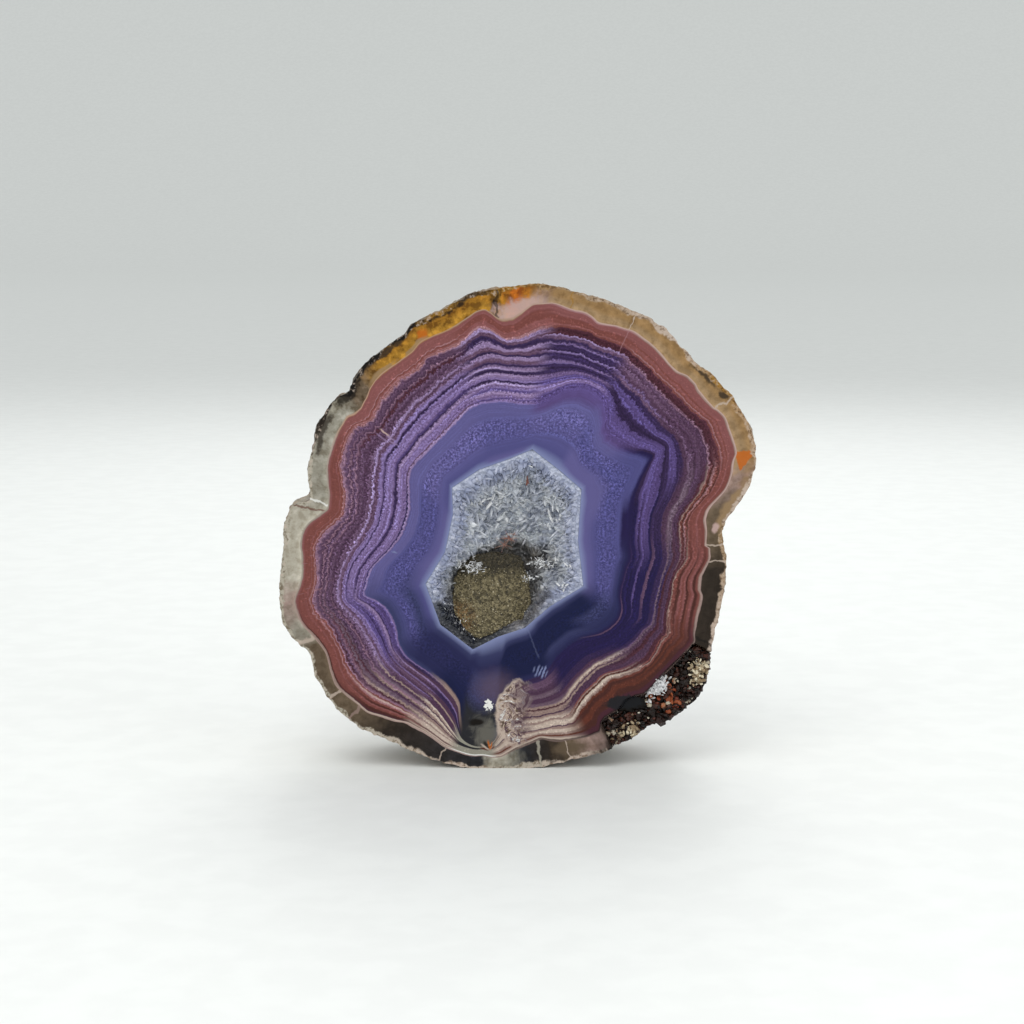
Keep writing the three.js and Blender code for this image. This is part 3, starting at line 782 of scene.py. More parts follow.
def rind_ring(share, rim, back, edge_relief):
    """The outline of the rind at a share of the thickness"""
    shares, narrowed, swells = zip(*RIND)
    distance = rim + (back - rim) * np.interp(share, shares, narrowed)
    around = np.radians(ANGLES)
    y = np.full(ANGLES.shape, FACE_Y + (BACK_Y - FACE_Y) * share)
    x = HOLLOW_X + distance * np.cos(around)
    z = HOLLOW_Z + distance * np.sin(around)
    raised = np.interp(share, shares, swells) + 0.55 * math.sin(math.pi * share) * relief(x, y, z)
    raised += edge_relief / MM * crumbly(x, y, z)
    for angle, at, radius in chips():
        turned = (ANGLES - angle + 180.0) % 360.0 - 180.0
        off = np.hypot(np.radians(turned) * distance, (share - at) * (BACK_Y - FACE_Y)) / (radius * 0.85)
        raised -= 0.35 * radius * np.clip(1.0 - off * off, 0.0, 1.0)
    return distance + raised


def loft(name, rows, columns_angles=ANGLES):
    """A closed skin through rings. A row holds distances, y, growth depth, material and drift."""
    columns = len(columns_angles) - 1
    shell = bmesh.new()
    bmesh.ops.create_grid(shell, x_segments=columns, y_segments=len(rows) - 1, size=1.0)
    mesh = bpy.data.meshes.new(name)
    shell.to_mesh(mesh)
    shell.free()

    flat = np.empty(len(mesh.vertices) * 3, np.float32)
    mesh.vertices.foreach_get("co", flat)
    flat = flat.reshape(-1, 3)
    u = np.rint((flat[:, 0] + 1.0) / 2.0 * columns).astype(int)
    v = np.rint((flat[:, 1] + 1.0) / 2.0 * (len(rows) - 1)).astype(int)
    middles = np.empty(len(mesh.polygons) * 3, np.float32)
    mesh.polygons.foreach_get("center", middles)
    face_row = np.floor((middles.reshape(-1, 3)[:, 1] + 1.0) / 2.0 * (len(rows) - 1)).astype(int)
    materials = np.array([row["material"] for row in rows])
    mesh.polygons.foreach_set("material_index", materials[face_row].astype(np.int32))

    distance = np.array([np.broadcast_to(row["distance"], columns + 1) for row in rows])[v, u]
    y = np.array([np.broadcast_to(row["y"], columns + 1) for row in rows])[v, u]
    growth = np.array([np.broadcast_to(row["growth"], columns + 1) for row in rows])[v, u]
    drift = np.array([row.get("drift", (0.0, 0.0)) for row in rows])[v]
    around = np.radians(columns_angles)[u]
    x = HOLLOW_X + distance * np.cos(around) + drift[:, 0]
    z = HOLLOW_Z + distance * np.sin(around) + drift[:, 1]
    points = np.column_stack([x, y, z]) * MM
    mesh.vertices.foreach_set("co", points.astype(np.float32).ravel())
    mesh.attributes.new("growth", "FLOAT", "POINT").data.foreach_set("value", growth.astype(np.float32))

    shell = bmesh.new()
    shell.from_mesh(mesh)
    bmesh.ops.remove_doubles(shell, verts=shell.verts, dist=1e-6)
    bmesh.ops.recalc_face_normals(shell, faces=shell.faces)
    shell.to_mesh(mesh)
    shell.free()
    return mesh


def stand(mesh, materials, slot, *nodes):
    """Puts a finished mesh in the scene as a piece that rides on the stone"""
    for material in materials:
        mesh.materials.append(material)
    piece = bpy.data.objects.new(mesh.name, mesh)
    bpy.context.collection.objects.link(piece)
    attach(piece, "root")
    if nodes:
        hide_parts(*nodes)
    return piece


def copies(name, template, matrices, tints):
    """One mesh of many copies of a small shape, each under its own matrix and with its own tint"""
    many = bmesh.new()
    for _ in matrices:
        many.from_mesh(template)
    mesh = bpy.data.meshes.new(name)
    many.to_mesh(mesh)
    many.free()
    size = len(template.vertices)
    points = np.empty(len(mesh.vertices) * 3, np.float32)
    mesh.vertices.foreach_get("co", points)
    points = points.reshape(len(matrices), size, 3)
    turned = np.array([np.array(m) for m in matrices])
    points = np.einsum("nij,nkj->nki", turned[:, :3, :3], points) + turned[:, None, :3, 3]
    mesh.vertices.foreach_set("co", (points * MM).astype(np.float32).ravel())
    tint = mesh.attributes.new("tint", "FLOAT", "POINT")
    tint.data.foreach_set("value", np.repeat(np.array(tints, np.float32), size))
    mesh.update()
    return mesh


def small_shape(name, build):
    """A small mesh made by bmesh operators"""
    shape = bmesh.new()
    build(shape)
    bmesh.ops.recalc_face_normals(shape, faces=shape.faces)
    mesh = bpy.data.meshes.new(name)
    shape.to_mesh(mesh)
    shape.free()
    return mesh


def quartz_point(shape):
    """A six-sided prism with a pointed end, one long and one across, that grows along +Z"""
    made = bmesh.ops.create_cone(
        shape, cap_ends=True, cap_tris=False, segments=6, radius1=1.0, radius2=0.86, depth=0.6,
    )
    bmesh.ops.translate(shape, verts=made["verts"], vec=(0.0, 0.0, 0.3))
    top = max(shape.faces, key=lambda face: face.calc_center_median().z)
    grown = bmesh.ops.extrude_discrete_faces(shape, faces=[top])["faces"][0]
    bmesh.ops.scale(shape, verts=grown.verts, vec=(0.12, 0.2, 1.0))
    bmesh.ops.translate(shape, verts=grown.verts, vec=(0.0, 0.0, 0.4))


def thin_needle(shape):
    """A thin five-sided needle, one long"""
    made = bmesh.ops.create_cone(shape, cap_ends=True, segments=5, radius1=1.0, radius2=0.2, depth=1.0)
    bmesh.ops.translate(shape, vec=(0.0, 0.0, 0.5), verts=made["verts"])


def broken_grain(shape):
    """A small block with flat broken faces"""
    bmesh.ops.create_icosphere(shape, subdivisions=1, radius=1.0)


def grown_at(place, towards, across, along, spin):
    """The matrix of a shape that grows from a place in a direction, with its width and its length"""
    turn = Vector(towards).to_track_quat("Z", "Y").to_matrix().to_4x4()
    size = Matrix.Diagonal((across, across, along, 1.0))
    return Matrix.Translation(place) @ turn @ Matrix.Rotation(spin, 4, "Z") @ size


def under_the_face(root, towards, length):
    """A root pushed in far enough for its point to stay behind the polished face"""
    tip = root.y + min(0.0, towards.y * length)
    return root + Vector((0.0, max(0.0, FACE_Y - 0.1 - tip), 0.0))


def thrown_at(place, sizes, rng):
    """The matrix of a loose grain, turned any way"""
    spin = rng.uniform(0, math.tau)
    axis = Vector((rng.gauss(0, 1), rng.gauss(0, 1), rng.gauss(0, 1))).normalized()
    turn = Matrix.Rotation(spin, 4, axis)
    return Matrix.Translation(place) @ turn @ Matrix.Diagonal((*sizes, 1.0))


def face_material(colours, settings):
    """The polished face: fine wandering bands between the growth lines, in the colours of each side"""
    shade = Shade("polished_agate", colours)
    place, x, _, z = shade.place()
    far = shade.math("SQRT", x * x + z * z)
    angle = shade.bearing(x, z)
    east = x / far
    north = z / far
    growth = shade.attribute("growth")
    speckle = shade.noise(place, 3.8, 2.0, 0.75) - 0.5
    grit = shade.noise(place, 1.9, 2.0, 0.6) - 0.5

    # The bands follow the growth lines, a little wavy, and ragged where the stone is speckled
    amount = shade.ramp(growth, SPECKLED, 0.0, 20.0)
    patchy = shade.step(shade.noise(place, 0.45, 2.0), 0.3, 0.6)
    amount = amount * (0.45 + patchy * 0.55)
    lined = shade.ramp(angle, LINED, -90.0, 270.0)
    top = shade.patch(angle, growth, (84.0, 7.5), (14.0, 3.4), 0.5)
    top = top + shade.patch(angle, growth, (262.0, 12.0), (9.0, 12.0), 0.3) * 1.5
    amount = amount * (0.3 + lined * 0.7) * (1.0 + top * -0.5)
    around = shade.vector(east, north, growth * 0.12)
    wander = shade.noise(around, 9.0, 3.0) - 0.5
    ripple = shade.noise(shade.vector(east, north, growth * 0.02), 26.0, 1.0)
    scallops = abs(ripple - 0.5) * 3.2 - 0.35
    ripple = shade.noise(shade.vector(east, north, growth * 0.05), 60.0, 1.0)
    ripple = scallops + (ripple - 0.5) * 0.5
    waviness = settings.waviness / MM
    calm = shade.within(growth, 0.6, 3.5, 12.0, 19.2)
    frilly = shade.step(growth, 2.6, 4.6, 0.3, 1.0) * shade.step(growth, 6.5, 9.5, 1.0, 0.4)
    frilly = frilly * shade.ramp(angle, FRILLY, -90.0, 270.0)
    shift = wander * (1.1 * waviness) + ripple * waviness * frilly
    ragged = (speckle * 0.6 + grit * 0.5) * amount
    depth = growth + shift * calm + ragged

    # Feathery streaks that cut across the bands on the upper right
    slanted = shade.vector((x + z) * 0.16, (x - z) * 1.1, 0.0)
    feathers = shade.noise(slanted, 1.0, 4.0, 0.6) - 0.5
    disturbed = shade.patch(angle, growth, (52.0, 9.6), (11.0, 4.0), 0.5)
    depth = depth + feathers * 1.5 * disturbed

    # The wide bands, side by side
    strayed = angle + (shade.noise(place, 0.35, 3.0) - 0.5) * 9.0
    first = bands = shade.ramp(depth, crisp(BANDS[0][1]), 0.0, 20.0)
    for fade, stops in BANDS[1:]:
        wide = fade[1] - fade[0] > 8
        share = shade.step(strayed if wide else angle, *fade)
        bands = shade.mix(share, bands, shade.ramp(depth, crisp(stops), 0.0, 20.0))
    bands = shade.mix(shade.step(angle, *LAST_FADE), bands, first)

    # Fine growth lines, light and dark, broken up into strings of grains where the stone is speckled
    zone = shade.step(growth, 4.4, 5.2, 0.22, 1.0) * shade.step(growth, 12.4, 13.2, 1.0, 0.3)
    zone = zone * (shade.within(growth, 2.4, 2.7, 17.0, 18.4))
    for pitch, spread, strength in ((4.2, 0.9, 0.6), (8.0, 1.2, 0.5)):
        fine = shade.vector(depth * pitch, east * spread, north * spread)
        lines = shade.noise(fine, 1.0, 1.0, 0.6) + speckle * 0.8 * amount
        broken = shade.step(shade.noise(place, 0.2 * pitch, 2.0), 0.3, 0.6, 0.35, 1.0)
        here = zone * broken * (lined * strength)
        light = shade.step(lines, 0.56, 0.64) * here
        dark = shade.step(lines, 0.44, 0.36) * here
        bands = shade.tinted(light, bands, (1.75, 2.0, 2.0))
        bands = shade.tinted(dark, bands, (0.50, 0.42, 0.52))

    # Speckles of fine grain, and pale flecks in the rose band
    pale_specks = shade.step(speckle, 0.04, 0.12) * (amount * 0.6)
    dark_specks = shade.step(speckle, -0.03, -0.10) * (amount * 0.7)
    bands = shade.tinted(pale_specks, bands, (1.65, 1.6, 1.7))
    bands = shade.tinted(dark_specks, bands, (0.46, 0.42, 0.56))
    ring = shade.within(growth, 14.4, 15.2, 16.4, 17.4)
    ring = ring * shade.step(shade.noise(place, 0.3, 3.0), 0.35, 0.6, 0.25, 1.0)
    dots = grit + speckle * 0.8
    bands = shade.tinted(shade.step(dots, 0.03, 0.1) * (ring * 0.4), bands, (1.7, 1.6, 1.6))
    bands = shade.tinted(shade.step(dots, -0.02, -0.1) * (ring * 0.4), bands, (0.5, 0.5, 0.62))
    rosy = shade.within(growth, 2.5, 3.4, 4.9, 5.1)
    mottled = shade.noise(place, 0.9, 3.0, 0.6)
    bands = shade.tinted(shade.step(mottled, 0.5, 0.64) * (rosy * 0.5), bands, (1.3, 1.3, 1.35))
    flecks = shade.step(grit + speckle * 0.7, 0.13, 0.2) * (rosy * 0.5)
    bands = shade.tinted(flecks, bands, (1.7, 1.75, 1.75))

    # The feeder: a grey veil, a dark wedge, a painted glint (a white highlight) and a lumpy cream mass beside
    # it
    veil = shade.patch(x, z, (-1.5, -16.6), (2.2, 1.9), 0.8, grit * 0.5)
    bands = shade.mix(veil * 0.5, bands, "mauve")
    curls = shade.noise(place, 0.5, 4.0, 0.6, 1.0)
    smoke = shade.patch(x, z, (-2.6, -22.3), (1.7, 1.9), 0.6, (curls - 0.5) * 3.0)
    bands = shade.mix(smoke * 0.4, bands, "pale_grey")
    wedge = shade.patch(x, z, (-3.8, -20.9), (1.0, 0.45), 0.3, (curls - 0.5) * 2.5)
    bands = shade.mix(wedge, bands, "black_brown")
    swirls = shade.noise(place, 0.5, 2.0, 0.5, 1.2)
    creases = abs(swirls - 0.5)
    lumps = shade.noise(place, 0.85, 4.0, 0.62, 1.6)
    tones = [
        (0.0, "brown_plum"), (0.41, "taupe"), (0.46, "drift"), (0.49, "cream"), (0.54, "cream"),
        (0.57, "drift"), (0.65, "white"),
    ]
    mass = shade.ramp(lumps + x * -0.012, tones)
    mass = shade.mix(shade.step(creases, 0.004, 0.035, 0.85, 0.0), mass, "brown_plum")
    browned = (x - 1.2) * 0.06 - curls
    mass = shade.mix(shade.step(browned, -0.5, -0.38, 0.0, 0.65), mass, "brown_plum")
    bent_in = (curls - 0.5) * 0.5
    lumpy = shade.patch(x, z, (1.3, -19.8), (2.9, 4.2), 0.08, bent_in)
    core = shade.patch(x, z, (1.5, -19.8), (2.7, 4.0), 0.08, bent_in)
    mass = shade.mix(core, "cream", mass)
    faded = shade.step(x + (curls - 0.5) * 6.0, 0.9, 3.4, 1.0, 0.0)
    bands = shade.mix(lumpy * faded, bands, mass)
    # Painted highlight: a white glint painted onto the polished face
    painted_glint = shade.patch(x, z, (-2.3, -18.8), (0.5, 0.6), 0.12, grit * 3.5)
    bands = shade.mix(painted_glint, bands, "white")

    # Flaws and thin veins
    for start, end, width, strength, shown in VEINS:
        vein = shade.stroke(x, z, start, end, width, grit * 0.35)
        bands = shade.mix(vein * strength, bands, shown)

    radial = shade.vector(east * 90.0, north * 90.0, growth * 0.35)
    scratched = shade.patch(angle, growth, (184.0, 4.2), (9.0, 2.6), 0.4)
    scratches = shade.step(shade.noise(radial, 1.0, 2.0), 0.6, 0.68) * (scratched * 0.5)
    bands = shade.mix(scratches, bands, "blush")

    # The rim of clear chalcedony: cloudy, darker outside, with a pale line inside and cracks
    radial = shade.vector(east * 30.0, north * 30.0, growth * 0.5)
    streaks = shade.noise(radial, 1.0, 3.0) - 0.5
    glass = shade.ramp(angle + streaks * 7.0, CHALCEDONY, -90.0, 270.0)
    cloud = shade.noise(place, 0.9, 4.0, 0.6)
    patchy_glass = shade.ramp(angle, GLASS_CONTRAST, -90.0, 270.0)
    glass = shade.tinted(shade.step(cloud, 0.52, 0.38) * patchy_glass, glass, (0.38, 0.31, 0.22))
    glass = shade.tinted(shade.step(cloud, 0.52, 0.64) * patchy_glass, glass, (1.6, 1.6, 1.7))
    glass = shade.tinted(shade.step(growth, 1.5, 2.2, 0.0, 0.35), glass, (1.6, 1.6, 1.6))
    glass = shade.tinted(shade.step(streaks, 0.1, 0.16) * 0.3, glass, (0.5, 0.42, 0.34))
    olive = shade.patch(angle, growth, (70.0, 0.5), (60.0, 0.9), 0.4)
    glass = shade.tinted(olive * 0.6, glass, (0.95, 0.80, 0.50))
    for at, half, shown in GLASS_PATCHES:
        inside = shade.patch(angle, growth, at, half, 0.4, (cloud - 0.5) * 2.0)
        glass = shade.mix(inside * 0.85, glass, shown)
    below = 12.9 - z + grit * 0.6
    left = shade.step(x + below * -0.3, 27.5, 27.7)
    right = shade.step(x + below * 0.8, 30.4, 30.2)
    chip = left * right * shade.step(below, -0.1, 0.1)
    glass = shade.mix(chip * 0.9, glass, "orange")
    crust = shade.ramp(angle + streaks * 12.0, CRUST, -90.0, 270.0)
    pits = shade.noise(place, 1.6, 5.0, 0.7)
    crust = shade.tinted(shade.step(pits, 0.5, 0.42, 0.0, 0.8), crust, (0.30, 0.23, 0.16))
    crust = shade.mix(shade.step(pits, 0.53, 0.6, 0.0, 0.6), crust, "cream")
    reach = 0.4 + (shade.noise(place, 0.45, 4.0, 0.55) - 0.5) * 2.2
    crusted = shade.step(growth - reach, -0.15, 0.12, 1.0, 0.0)
    rim = shade.mix(crusted, glass, crust)
    bent = angle + (shade.noise(place, 0.8, 3.0) - 0.5) * 3.0
    for at, width, shown in CRACKS:
        off = abs(bent - float(at))
        rim = shade.mix(shade.step(off, 0.4 * width, width, 0.7, 0.0), rim, shown)
    edge = growth + wander * 0.4
    face = shade.mix(shade.step(edge, 2.14, 2.28), rim, bands)
    white = shade.within(edge, 2.16, 2.24, 2.28, 2.42)
    clearly = shade.ramp(angle, WHITE_STRENGTH, -90.0, 270.0)
    face = shade.mix(white * clearly, face, "pink_white")
    for end, width, shown in BURST:
        ray = shade.stroke(x, z, (-2.2, -24.5), end, width, grit * 0.15)
        face = shade.mix(ray * 0.85, face, shown)
    lens = shade.patch(x, z, (14.5, -18.5), (2.4, 1.0), 0.2, grit)
    face = shade.mix(lens * 0.95, face, "black_slate")

    shade.feed(shade.finish, {
        "Base Color": face, "Roughness": shade.step(growth, 0.0, 1.4, 0.5, settings.gloss), "IOR": 1.54,
        "Specular IOR Level": 0.12,
    })
    uneven = pits * shade.step(growth, 0.2, 1.2, 1.0, 0.0) + speckle * 0.02
    shade.bumped(uneven, 0.35, 0.0002)
    return shade.material


def rind_material(colours):
    """The weathered outside: cream and tan crust over grey stone, with dark pits and stains"""
    shade = Shade("weathered_rind", colours)
    place, x, _, z = shade.place()
    angle = shade.bearing(x, z)
    growth = shade.attribute("growth")
    broad = shade.noise(place, 0.22, 4.0, 0.6)
    rough = shade.noise(place, 1.3, 6.0, 0.65)
    body = shade.mix(shade.step(broad, 0.4, 0.62), "tan", "pale_grey")
    near_face = shade.step(growth, -0.12, 0.0)
    own = shade.ramp(angle + (rough - 0.5) * 20.0, CRUST, -90.0, 270.0)
    body = shade.mix(near_face * 0.5 + 0.35, body, own)
    body = shade.mix(shade.step(rough, 0.52, 0.68, 0.0, 0.7), body, "cream")
    stain = shade.noise(place, 0.5, 4.0, 0.6)
    body = shade.mix(shade.step(stain, 0.56, 0.7, 0.0, 0.6), body, "rust")
    pits = shade.cells(place, 1.2)
    pit = shade.step(pits, 0.1, 0.24, 1.0, 0.0) * shade.step(stain, 0.4, 0.55)
    body = shade.mix(pit * 0.85, body, "black_brown")
    # Darker where the bump is lowest, in the hollows of the rind
    hollows = shade.step(rough, 0.3, 0.46, 0.75, 0.0)
    body = shade.mix(hollows, body, "smoky")
    shade.feed(shade.finish, {"Base Color": body, "Roughness": 0.78, "IOR": 1.5})
    grain = shade.noise(place, 5.0, 4.0, 0.7)
    height = rough + (grain * 0.25 + pit * -0.5)
    shade.bumped(height, 0.7, 0.0006)
    return shade.material


def back_material(colours):
    """The sawn back: the same bands without a polish, paler, with the marks of the saw"""
    shade = Shade("sawn_back", colours)
    place, x, _, z = shade.place()
    far = shade.math("SQRT", x * x + z * z)
    east = x / far
    north = z / far
    growth = shade.attribute("growth")
    depth = -1.0 - growth
    wander = shade.noise(shade.vector(east, north, depth * 0.1), 7.0, 3.0) - 0.5
    depth = depth + wander * 1.2
    stops = [
        (0.0, "cream"), (0.5, "tan"), (2.0, "smoky"), (2.35, "blush"), (2.7, "brick"), (4.6, "rose"),
        (5.0, "blush"), (5.6, "plum"), (6.6, "maroon"), (7.2, "plum"), (8.2, "lilac"), (9.3, "purple_dark"),
        (9.8, "lilac"), (10.8, "plum"), (11.4, "lilac_pale"), (12.4, "violet"), (13.4, "violet_blue"),
        (16.5, "blue"), (18.2, "violet_blue"), (19.2, "halo"), (20.4, "pale_grey"), (24.0, "white"),
        (30.0, "pale_grey"),
    ]
    bands = shade.ramp(depth, stops, 0.0, 30.0)
    fine = shade.noise(shade.vector(depth * 2.4, east * 1.6, north * 1.6), 1.0, 3.0)
    inside = shade.step(depth, 2.4, 3.2)
    bands = shade.mix(shade.step(fine, 0.53, 0.7) * (inside * 0.45), bands, (0.5, 0.42, 0.5))
    bands = shade.mix(shade.step(fine, 0.47, 0.33) * (inside * 0.4), bands, (0.05, 0.035, 0.07))
    dusty = shade.mix(0.22, bands, (0.55, 0.53, 0.52))
    saw = shade.noise(shade.vector(x * 0.12, z * 3.2, 0.0), 1.0, 3.0, 0.7)
    dusty = shade.mix(shade.step(saw, 0.5, 0.7, 0.0, 0.16), dusty, (0.75, 0.74, 0.72))
    shade.feed(shade.finish, {"Base Color": dusty, "Roughness": 0.55, "IOR": 1.54})
    shade.bumped(saw + shade.noise(place, 6.0, 2.0) * 0.2, 0.4, 0.0002)
    return shade.material


def wall_material(colours):
    """The wall of the hollow, behind the quartz"""
    shade = Shade("hollow_wall", colours)
    place = shade.place()[0]
    cloudy = shade.step(shade.noise(place, 0.8, 3.0), 0.35, 0.65)
    shown = shade.mix(cloudy, "halo", "pale_grey")
    shade.feed(shade.finish, {"Base Color": shown, "Roughness": 0.35, "IOR": 1.54})
    shade.bumped(shade.noise(place, 3.0, 3.0), 0.3, 0.0003)
    return shade.material


def stained(shade, x, y, z, shown):
    """Quartz colours, bluer at the mouth of the hollow, with dark olive round the mound that is partly a
    stain and partly painted shade
    """
    shown = shade.mix(shade.step(y, 0.0, 2.6, 0.7, 0.0), shown, (0.22, 0.25, 0.40))
    swirl = shade.noise(shade.vector(x, y, z), 0.5, 3.0) - 0.5
    stray = swirl * 1.3
    # Dark olive above and round the mound: partly a stain, partly painted shade
    stain_and_shade_above = shade.patch(x, z, (0.6, -1.3), (4.9, 2.2), 0.35, stray)
    stain_and_shade_round = shade.patch(x, z, (-1.4, -5.3), (6.2, 5.6), 0.2, swirl * 0.8)
    amount = shade.math("MAXIMUM", stain_and_shade_above * 0.9, stain_and_shade_round * 0.8)
    olive = shade.mix(shade.step(swirl, -0.12, 0.12), (0.020, 0.015, 0.010), (0.085, 0.066, 0.040))
    shown = shade.mix(amount, shown, olive)
    cold = shade.patch(x, z, (-5.4, -9.2), (4.9, 4.6), 0.3, swirl * 1.2)
    return shade.mix(cold, shown, (0.008, 0.010, 0.018))


def druse_ground_material(colours):
    """The milky quartz that the points grow from"""
    shade = Shade("druse_ground", colours)
    place, x, y, z = shade.place()
    facets = shade.cells(place, 1.6, output="Color")
    tint = shade.step(shade.add("SeparateColor", {0: facets}), 0.1, 0.9)
    shown = shade.mix(tint, (0.52, 0.56, 0.64), (0.90, 0.93, 0.97))
    shown = stained(shade, x, y, z, shown)
    shade.feed(shade.finish, {"Base Color": shown, "Roughness": 0.3, "IOR": 1.544})
    shade.bumped(shade.cells(place, 2.2), 0.8, 0.0005)
    return shade.material


def quartz_material(name, colours, clearness, low, high):
    """Quartz points, clearer or milkier"""
    shade = Shade(name, colours)
    place, x, y, z = shade.place()
    tint = shade.attribute("tint")
    veils = shade.noise(place, 2.5, 3.0)
    shown = shade.mix(tint * 0.8 + veils * 0.2, low, high)
    shown = shade.tinted(
        shade.step(shade.noise(place, 0.42, 3.0), 0.40, 0.56, 0.8, 0.0), shown, (0.60, 0.62, 0.70),
    )
    shown = stained(shade, x, y, z, shown)
    shade.feed(shade.finish, {
        "Base Color": shown, "Roughness": 0.09, "IOR": 1.544, "Transmission Weight": clearness,
    })
    return shade.material


def mound_material(colours):
    """Ochre and olive grains of the mound, with painted shade darkening its top"""
    shade = Shade("stained_mound", colours)
    place, x, y, z = shade.place()
    grit = shade.cells(place, 3.4, output="Color")
    tint = shade.add("SeparateColor", {0: grit})
    shown = shade.mix(shade.step(tint, 0.05, 0.95), (0.085, 0.068, 0.032), (0.27, 0.225, 0.125))
    warm = shade.patch(x, z, (-6.0, -8.0), (1.8, 1.8), 0.6)
    shown = shade.mix(warm * 0.5, shown, (0.30, 0.14, 0.04))
    dark = shade.step(shade.noise(place, 1.3, 4.0, 0.65), 0.46, 0.38, 0.0, 0.7)
    shown = shade.mix(dark, shown, (0.014, 0.012, 0.008))
    # Painted shade: the upper part of the mound is darkened
    top = shade.step(z + shade.noise(place, 0.8, 3.0) * 3.0, -1.9, -0.2)
    shown = shade.mix(top * 0.85, shown, (0.02, 0.016, 0.01))
    shade.feed(shade.finish, {"Base Color": shown, "Roughness": 0.62, "IOR": 1.5})
    ridges = shade.noise(shade.vector(x * 0.5, y, z + x * 0.45), 1.4, 4.0, 0.65)
    shade.bumped(shade.cells(place, 3.4) + ridges * 3.0, 0.9, 0.0005)
    return shade.material


def grain_material(name, stops, roughness, clearness=0.0, shine=0.5):
    """Loose grains whose colour goes by each grain's own tint"""
    shade = Shade(name)
    tint = shade.attribute("tint")
    place = shade.place()[0]
    mottled = tint + (shade.noise(place, 2.5, 3.0) - 0.5) * 0.25
    shown = shade.ramp(mottled, stops)
    shade.feed(shade.finish, {
        "Base Color": shown, "Roughness": roughness, "IOR": 1.54, "Transmission Weight": clearness,
        "Specular IOR Level": shine,
    })
    shade.bumped(shade.noise(place, 5.0, 3.0), 0.4, 0.0002)
    return shade.material


def plain_material(name, rgb, roughness, variation=0.1, scale=3.0):
    """A nearly even finish with a little variation"""
    shade = Shade(name)
    place = shade.place()[0]
    darker = tuple(level * (1.0 - variation) for level in rgb)
    cloudy = shade.step(shade.noise(place, scale, 4.0), 0.35, 0.65)
    shade.feed(shade.finish, {"Base Color": shade.mix(cloudy, darker, rgb), "Roughness": roughness})
    return shade.material


def strew(name, template, matrices, tints, slot, stops, roughness, **finish):
    """Puts many copies of a small shape in the scene, in a material that goes by their tints"""
    mesh = copies(name, template, matrices, tints)
    stand(mesh, [grain_material(name, stops, roughness, **finish)], slot)


def slice_rows(edge_relief):
    """The rings of the slice, from the floor of the hollow out over the face, the rind and the back"""
    mouth, blue, plum = mouth_line(), steady_line(BLUE_EDGE), steady_line(PLUM_EDGE)
    rose, white = steady_line(ROSE_EDGE), steady_line(WHITE_LINE)
    rim, back = steady_line(RIM), steady_line(BACK_RIM)
    edges = {share: above_ground(rind_ring(share, rim, back, edge_relief)) for share in RIND_ROWS}
    rows = []

    def ring(distance, y, growth, material):
        rows.append({"distance": distance, "y": y, "growth": growth, "material": material})

    for share, size in reversed(WALL[1:]):
        ring(mouth * size, FACE_Y + share * HOLLOW_DEPTH, MOUTH_DEPTH + 10.0 * share, 3)

    lines = [
        (mouth, MOUTH_DEPTH, 6), (blue, BLUE_DEPTH, 4), (plum, PLUM_DEPTH, 4), (rose, ROSE_DEPTH, 3),
        (white, WHITE_DEPTH, 9), (edges[0], RIM_DEPTH, 0),
    ]
    turned = (ANGLES - 180.0) % 360.0
    arc_low, arc_high = [(angle - 180.0) % 360.0 for angle in POCKET_ARC]
    in_arc = np.clip((turned - arc_low) / 0.8, 0, 1) * np.clip((arc_high - turned) / 0.8, 0, 1)
    for (inner, deep, steps), (outer, shallow, _) in zip(lines[:-1], lines[1:]):
        for step in range(steps):
            share = step / steps
            sunk = np.zeros(len(ANGLES))
            if inner is white:
                share = [0, 0.06, 0.14, 0.26, 0.4, 0.55, 0.7, 0.83, 0.93][step]
                sunk = POCKET_DEPTH * in_arc * min(1.0, share / 0.14)
            ring(inner + (outer - inner) * share, FACE_Y + sunk, deep + (shallow - deep) * share, 0)

    sunk = POCKET_DEPTH * in_arc
    for share in RIND_ROWS:
        front = FACE_Y + sunk
        ring(edges[share], front + (BACK_Y - front) * share, -share, 1)

    scale = edges[1] / edges[0]
    lines = [
        (edges[0], 0.0, 4), (white, WHITE_DEPTH, 3), (rose, ROSE_DEPTH, 2), (plum, PLUM_DEPTH, 3),
        (blue, BLUE_DEPTH, 3), (mouth * 0.8, 20.0, 3), (mouth * 0.0, 30.0, 0),
    ]
    for (outer, shallow, steps), (inner, deep, _) in zip(lines[:-1], lines[1:]):
        for step in range(steps):
            share = step / steps
            deeper = shallow + (deep - shallow) * share
            if deeper > 0.0 or step:
                ring(scale * (outer + (inner - outer) * share), BACK_Y, -1.0 - deeper, 2)
    ring(mouth * 0.0, BACK_Y, -31.0, 2)
    return rows


def druse_rows(angles):
    """The rings of the milky ground, out over its back and then from the mouth to the bottom of the bowl"""
    opening = mouth_line(angles)
    rows = []

    def ring(distance, y, growth, drift=(0.0, 0.0)):
        rows.append({"distance": distance, "y": y, "growth": growth, "material": 0, "drift": drift})

    for share, size in reversed(WALL):
        ring(opening * size * 0.997, FACE_Y + MOUTH_GAP + share * (HOLLOW_DEPTH - FLOOR_GAP), 1.0)
    for (share, size), (deeper, narrower) in zip(BOWL[:-1], BOWL[1:]):
        for t in (0.0, 0.25, 0.5, 0.75):
            at = share + (deeper - share) * t
            across = opening * (size + (narrower - size) * t)
            rough = np.array([
                noise.fractal(Vector((r * math.cos(a), 8 * at, r * math.sin(a))) * 0.9, 0.7, 2.0, 4)
                for r, a in zip(across, np.radians(angles))
            ])
            fade = 0.35 if at > 0 else 0.0
            y = FACE_Y + MOUTH_GAP + at * (BOWL_DEPTH - MOUTH_GAP) + 0.6 * fade * rough
            ring(across - fade * rough, y, at, (BOWL_DRIFT[0] * at, BOWL_DRIFT[1] * at))
    ring(0.0, FACE_Y + BOWL_DEPTH, 1.0, BOWL_DRIFT)
    return rows


